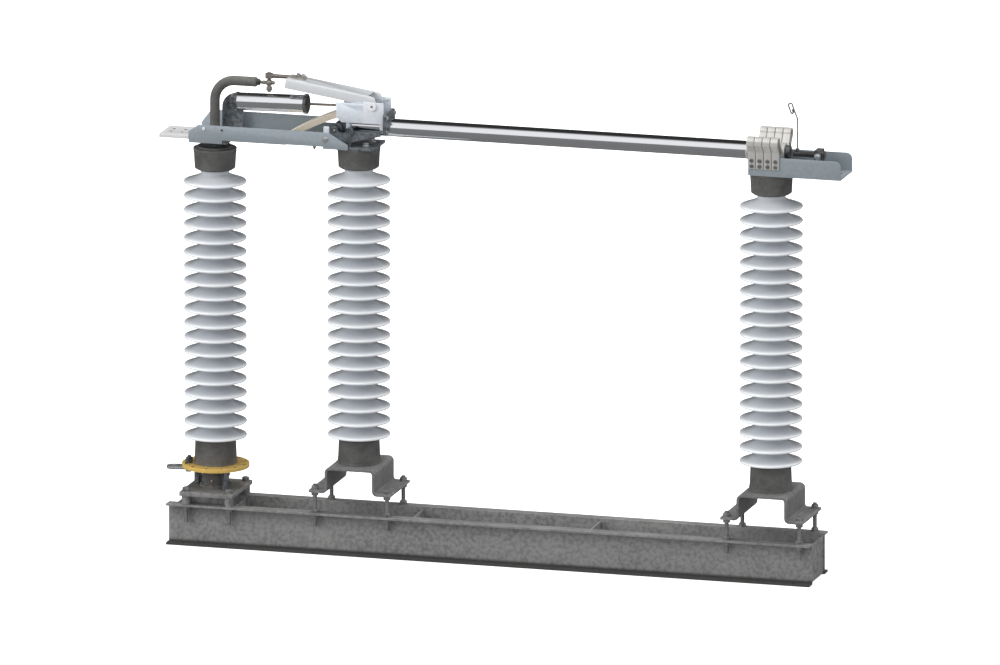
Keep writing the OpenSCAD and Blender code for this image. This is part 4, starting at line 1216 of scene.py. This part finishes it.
@dataclass
class Blade:
    """The moving blade: its mechanism box, polished tube, clamp and contact sleeve."""

    radius: float = 38.0
    sleeve: float = 39.5
    seam: float = 120.0
    wall_y: float = 0.060
    sheet: float = 0.8
    bolts_y: float = 0.058
    bolts_z: tuple[float, float] = (-0.010, 0.052)

    def build(self) -> None:
        """Model and dress the blade."""
        axis = middle("blade_tube")
        pin = middle("hinge_pin")
        low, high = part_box("mechanism_box")
        dress(refined("mechanism_box", "mechanism_box_plates", 0.9), BOX_SHEET, "blade")
        self.build_tube(axis)
        self.build_contact(axis)
        dress(refined("blade_clamp", "blade_clamp_plate", 1.4), DARK_CAST, "blade")
        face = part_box("blade_clamp")[1].x
        spots = [(face, y, axis.z + z) for y in (-self.bolts_y, self.bolts_y) for z in self.bolts_z]
        Fastener("clamp_bolts", 14, 6, 9, 1.4, 4).fasten(spots, Way.JAW, BRIGHT, "blade")
        self.build_cover(pin, high)
        link = Vector(joint_named("link_pitch")["pos_m"])
        ring = [(0, 0), (17.6, 0), (18.4, 0.8), (18.4, 3.2), (17.6, 4), (6.6, 4), (5.6, 3.2), (0, 3.2)]
        discs = [turned("disc", ring, (link.x, y - 0.0002 * way.value[1], link.z), way, 48)
                 for y, way in ((low.y, Way.FRONT), (high.y, Way.REAR))]
        dress(merged("link_pivot_washers", discs), WHITE_METAL, "blade")
        screw = Fastener("link_pivot_screw", 8, 2, 0, 0, 2, slotted=True)
        screw.fasten([(link.x, low.y - 0.0032, link.z)], Way.FRONT, DARK_STEEL, "blade")

    def build_tube(self, axis: Vector) -> None:
        """The polished tube, turned in one piece with a chamfer at each end."""
        low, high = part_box("blade_tube")
        long = (high.x - low.x) / MM
        rim = self.radius
        outline = [(0, 0), (19, 0), (20, 1), (20, 25), (rim - 1, 25), (rim, 26)]
        outline += [(rim, 25 + (long - 26) * i / 12) for i in range(1, 12)]
        outline += [(rim, long - 1), (rim - 1, long), (rim - 6, long), (rim - 6, long - 30), (0, long - 30)]
        tube = turned("polished_blade_tube", outline, (low.x, 0, axis.z), Way.JAW, 96)
        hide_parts("blade_tube")
        dress(tube, POLISHED, "blade")

    def build_contact(self, axis: Vector) -> None:
        """The silvered sleeve with its end grooves, and the dark plug behind it."""
        low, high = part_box("blade_contact")
        long = (high.x - low.x) / MM
        sleeve, bore = self.sleeve, self.radius + 0.1
        outline = [(bore, 0), (sleeve - 0.6, 0), (sleeve, 1.4), (sleeve, 8), (sleeve - 0.5, 9),
                   (sleeve - 0.5, 11), (sleeve, 12), (sleeve, long - 36), (sleeve - 0.7, long - 35),
                   (sleeve - 0.7, long - 32), (sleeve, long - 31), (sleeve, long - 22),
                   (sleeve - 1.4, long - 20), (30, long - 20), (30, long - 24), (bore, long - 24), (bore, 0)]
        ring = turned("silvered_contact_sleeve", outline, (low.x, 0, axis.z), Way.JAW, 80)
        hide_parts("blade_contact")
        dress(ring, SILVERED, "blade")
        plug = [(0, long - 26), (29.6, long - 26), (29.6, long - 3), (27.5, long), (12, long), (11, long - 2),
                (0, long - 2)]
        dress(turned("blade_end_plug", plug, (low.x, 0, axis.z), Way.JAW, 56), DARK_STEEL, "blade")

    def build_cover(self, pin: Vector, high: Vector) -> None:
        """The paler end sheets on both sides of the box, which leave a seam."""
        floor, gap = middle("blade_tube").z + 0.023, 0.6
        end, top = (high.x - pin.x) / MM - gap, (high.z - floor) / MM - gap
        sheets = []
        for way, wall, up in ((Way.FRONT, -self.wall_y, 1), (Way.REAR, self.wall_y, -1)):
            # the rear sheet is drawn upside down and in the other order
            outline = [(self.seam, gap * up), (end, gap * up), (end, top * up), (self.seam, top * up)][::up]
            place = (pin.x, pin.y + wall, floor)
            sheets.append(cut_plate(f"sheet {way.name}", outline, self.sheet, place, way, 0.25))
        dress(merged("box_end_sheets", sheets), BOX_END, "blade")


@dataclass
class LinkArm:
    """The bright channel that lifts the blade, with its rod and adjusting block."""

    slope: float = 8.3
    screws_x: tuple[float, float] = (-332.0, -354.0)
    screws_z: float = 52.0

    def build(self) -> None:
        """Model and dress the link."""
        dress(refined("link_channel", "bright_link_channel", 1.2), SHEET_BRIGHT, "link")
        dress(refined("link_rod", "tapered_link_rod", 0.9), WARM_STEEL, "link")
        eye = Vector((middle("rotor_porcelain").x + Crank.reach, 0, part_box("link_rod")[1].z - 0.010))
        nut = Fastener("eye_top_nut", 17, 5, 0, 0, 5)
        nut.fasten([at(eye, z=4.5)], Way.UP, WARM_STEEL, "link")
        pivot = joint_named("link_pitch")["pos_m"]
        slope = Matrix.Rotation(math.radians(self.slope), 4, "Y")
        pattern = Fastener("block screw", 14, 6, 9, 1.5, 4).pattern()
        screws = []
        for x in self.screws_x:
            screw = settle(twin(pattern), (x * MM, 0, self.screws_z * MM))
            screws.append(settle(screw, pivot, slope))
        bpy.data.objects.remove(pattern)
        dress(merged("block_set_screws", screws), BRIGHT, "link")


@dataclass
class Jaw:
    """The channel over the jaw post, its contact fingers, stop and arcing horn."""

    rows: tuple[float, float] = (42.0, 66.0)
    pitch: float = 34.7
    count: int = 4
    first: float = 0.016
    wall_y: float = 0.101
    deck: float = 0.006
    pad_middle: float = 55.0
    horn_x: float = 0.113
    lean: float = 20.14
    wire: float = 0.0036

    def build(self) -> None:
        """Model and dress the jaw."""
        axis = middle("jaw_porcelain")
        dress(refined("jaw_channel", "jaw_u_channel", 1.6, 3), FRAME, "base")
        dress(refined("contact_fingers", "reverse_loop_fingers", 1.3, 3), SILVERED, "base")
        dress(refined("blade_stop", "blade_end_stop", 1.2), DARK_STEEL, "base")
        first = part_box("contact_fingers")[0].x + self.first
        floor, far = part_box("jaw_channel")[0].z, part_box("jaw_channel")[1].x
        blade = middle("blade_tube").z
        for name, y, way in (("front", -self.wall_y, Way.FRONT), ("rear", self.wall_y, Way.REAR)):
            spots = [(first + i * self.pitch * MM, y, floor + z * MM)
                     for i in range(self.count) for z in self.rows]
            screw = Fastener(name + "_finger_screws", 15, 4.5, 9.5, 1.2, 4, slotted=True)
            screw.fasten(spots, way, GREY_STEEL, "base")
        bolt = Fastener("stop_bolt", 24, 9, 16, 2, 7)
        bolt.fasten([(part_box("blade_stop")[1].x - 0.012, 0, blade - 0.002)], Way.JAW, BRIGHT, "base")
        cheek = Fastener("stop_side_bolts", 19, 8, 14, 2, 7)
        cheek.fasten([(axis.x + 0.208, -0.030, blade - 0.006)], Way.FRONT, BRIGHT, "base")
        deck = floor + self.deck
        spots = corners((axis.x, 0, deck), CAP_BOLTS, CAP_BOLTS)
        Fastener("jaw_channel_bolts", 22, 9, 15, 2, 8).fasten(spots, Way.UP, BRIGHT, "base")
        self.build_horn(axis.x + self.horn_x, blade)
        # painted shade: dark sleeves in the jaw terminal's holes
        shade_hole_row(far - self.pad_middle * MM, floor, deck, "jaw_hole_sleeves")

    def build_horn(self, x: float, blade: float) -> None:
        """The thin wire horn with its knee and hook, in a dark collar."""
        foot, knee = blade + 0.010, blade + 0.146
        points = [(x, 0, foot), (x, 0, (foot + knee) / 2), (x, 0, knee - 0.004)]
        points += [(x - 0.0008 - 0.0212 * t, 0, knee + 0.003 + 0.052 * t) for t in (0, 0.3, 0.6, 0.9)]
        turn, long = math.radians(self.lean), 63.9
        loop = [(-9 + px, long + pz) for px, pz in arc((0, 0), 9, 0, 180, 12)]
        loop += [(-18, long - 10), (-18, long - 20)]
        loop += [(-13 + px, long - 30 + pz) for px, pz in arc((0, 0), 5, 180, 360, 8)]
        loop += [(-8, long - 24), (-8, long - 18)]
        for side, rise in loop:
            points.append((x - (rise * math.sin(turn) - side * math.cos(turn)) * MM, 0,
                           knee + (rise * math.cos(turn) + side * math.sin(turn)) * MM))
        wire = bent_wire("arcing_horn_wire", points, self.wire)
        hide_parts("arcing_horn")
        dress(wire, GREY_STEEL, "base")
        collar = [(3, 0), (7.4, 0), (8, 0.8), (8, 8), (6.5, 11), (4.4, 12), (3, 12), (3, 0)]
        dress(turned("horn_collar", collar, (x, 0, blade + 0.008), steps=28), DARK_STEEL, "base")


# ---------- the studio ----------
@dataclass
class Studio:
    """A pale floor, soft lights and a long-lens camera."""

    azimuth: float = 16.0
    elevation: float = 13.0
    lens: float = 1000.0
    sensor: float = 36.0
    view_width: float = 4.232
    aim: tuple[float, float, float] = (0.017, 0.0, 0.982)
    floor: float = 60.0

    def build(self) -> None:
        """Set up the floor, the surroundings, the lights and the camera."""
        self.build_floor()
        self.build_surroundings()
        self.build_lights()
        self.build_camera()
        bpy.context.scene.view_settings.view_transform = "Standard"

    def build_floor(self) -> None:
        """A wide pale floor just under the base."""
        release()
        bpy.ops.mesh.primitive_plane_add(size=self.floor, location=(0, 0, -0.001))
        floor = named("floor")
        material = bpy.data.materials.new("pale floor")
        material.use_nodes = True
        sheet = NodeSheet(material.node_tree)
        shader = sheet.add("BsdfPrincipled", {"Base Color": (0.93, 0.93, 0.93, 1), "Roughness": 0.9,
                                              "Emission Color": (1, 1, 1, 1), "Emission Strength": 0.6})
        sheet.add("OutputMaterial", {"Surface": shader.outputs[0]})
        floor.data.materials.append(material)
        floor.visible_glossy = False
        floor.visible_diffuse = False

    def build_surroundings(self) -> None:
        """A room that is white at eye level, dark overhead and grey below."""
        world = bpy.data.worlds.new("studio")
        bpy.context.scene.world = world
        world.use_nodes = True
        sheet = NodeSheet(world.node_tree)
        look = sheet.add("SeparateXYZ", {0: sheet.add("TexCoord").outputs["Generated"]})
        before = [(0.0, 0.2), (0.5, 0.22), (0.565, 0.26), (0.59, 0.95), (0.75, 1.0), (0.95, 0.95),
                  (0.985, 0.08), (1.0, 0.03)]
        behind = [(0.0, 0.2), (0.49, 0.2), (0.52, 0.05), (1.0, 0.03)]
        beside = [(0.0, 0.2), (0.5, 0.24), (0.58, 0.8), (0.9, 0.8), (0.985, 0.08), (1.0, 0.03)]
        front, back, right = (self.sky(sheet, look.outputs["Z"], stops)
                              for stops in (before, behind, beside))
        rear = sheet.blend(sheet.spread(look.outputs["X"], 0.0, 1.0, 0.1, 0.5), back, right)
        sky = sheet.blend(sheet.spread(look.outputs["Y"], 0.0, 1.0, -0.06, 0.06), front, rear)
        room = sheet.add("Background", {"Color": sky, "Strength": 1.0})
        white = sheet.add("Background", {"Color": (1, 1, 1, 1), "Strength": 1.0})
        path = sheet.add("LightPath")
        soft = sheet.maths("MULTIPLY", path.outputs["Is Diffuse Ray"], 0.6)
        sheet.tree.links.new(sheet.blend(soft, sky, (0.8, 0.8, 0.81, 1)), room.inputs["Color"])
        seen = path.outputs["Is Camera Ray"]
        mixed = sheet.add("MixShader", {0: seen, 1: room.outputs[0], 2: white.outputs[0]})
        sheet.add("OutputWorld", {"Surface": mixed.outputs[0]})

    def sky(self, sheet: NodeSheet, up: Socket, stops: Sequence[tuple[float, float]]) -> Socket:
        """The brightness of one side of the room, from straight down to straight up."""
        ramp = sheet.add("ValToRGB", {0: sheet.spread(up, 0.0, 1.0, -1.0, 1.0)})
        band = ramp.color_ramp
        for index, (place, grey) in enumerate(stops):
            mark = band.elements[index] if index < 2 else band.elements.new(place)
            mark.position = place
            mark.color = (grey, grey, grey * 1.02, 1)
        return ramp.outputs[0]

    def build_lights(self) -> None:
        """Broad lamps without falloff: one before and to the left, one to the right, one overhead."""
        for name, place, spread_angle, power in (("key", (-6.0, -6.0, 4.5), 45, 1.35),
                                                 ("fill", (6.0, 5.0, 3.0), 70, 0.3),
                                                 ("top", (-0.5, 1.0, 8.0), 60, 1.9)):
            release()
            bpy.ops.object.light_add(type="SUN", location=place)
            lamp = bpy.context.object
            lamp.name = name
            lamp.data.angle, lamp.data.energy = math.radians(spread_angle), power
            lamp.visible_glossy = False
            ahead = Vector((0, 0, 0.9)) - Vector(place)
            lamp.rotation_euler = ahead.to_track_quat("-Z", "Y").to_euler()

    def build_camera(self) -> None:
        """Far back with a long lens, so that upright edges stay upright."""
        turn, rise = math.radians(self.azimuth), math.radians(self.elevation)
        back = Vector((math.sin(turn) * math.cos(rise), -math.cos(turn) * math.cos(rise), math.sin(rise)))
        away = self.view_width * self.lens / self.sensor
        data = bpy.data.cameras.new("camera")
        data.lens, data.sensor_width = self.lens, self.sensor
        data.clip_start, data.clip_end = 1.0, 400.0
        camera = bpy.data.objects.new("camera", data)
        camera.location = Vector(self.aim) + back * away
        camera.rotation_euler = (-back).to_track_quat("-Z", "Y").to_euler()
        bpy.context.scene.collection.objects.link(camera)
        bpy.context.scene.camera = camera


def main() -> None:
    """Build the sub-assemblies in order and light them."""
    logging.basicConfig(level=logging.INFO, format="%(name)s %(message)s")
    Base().build()
    for part in (Post("rotor", "rotor"), Post("hinge", "base"), Post("jaw", "base"), Pedestal("hinge"),
                 Pedestal("jaw"), TurningDrive(), Crank(), HingeFrame(), Strap(), SpringBalancer(),
                 Hinge(), Blade(), LinkArm(), Jaw()):
        part.build()
    Studio().build()


if __name__ == "__main__":
    main()
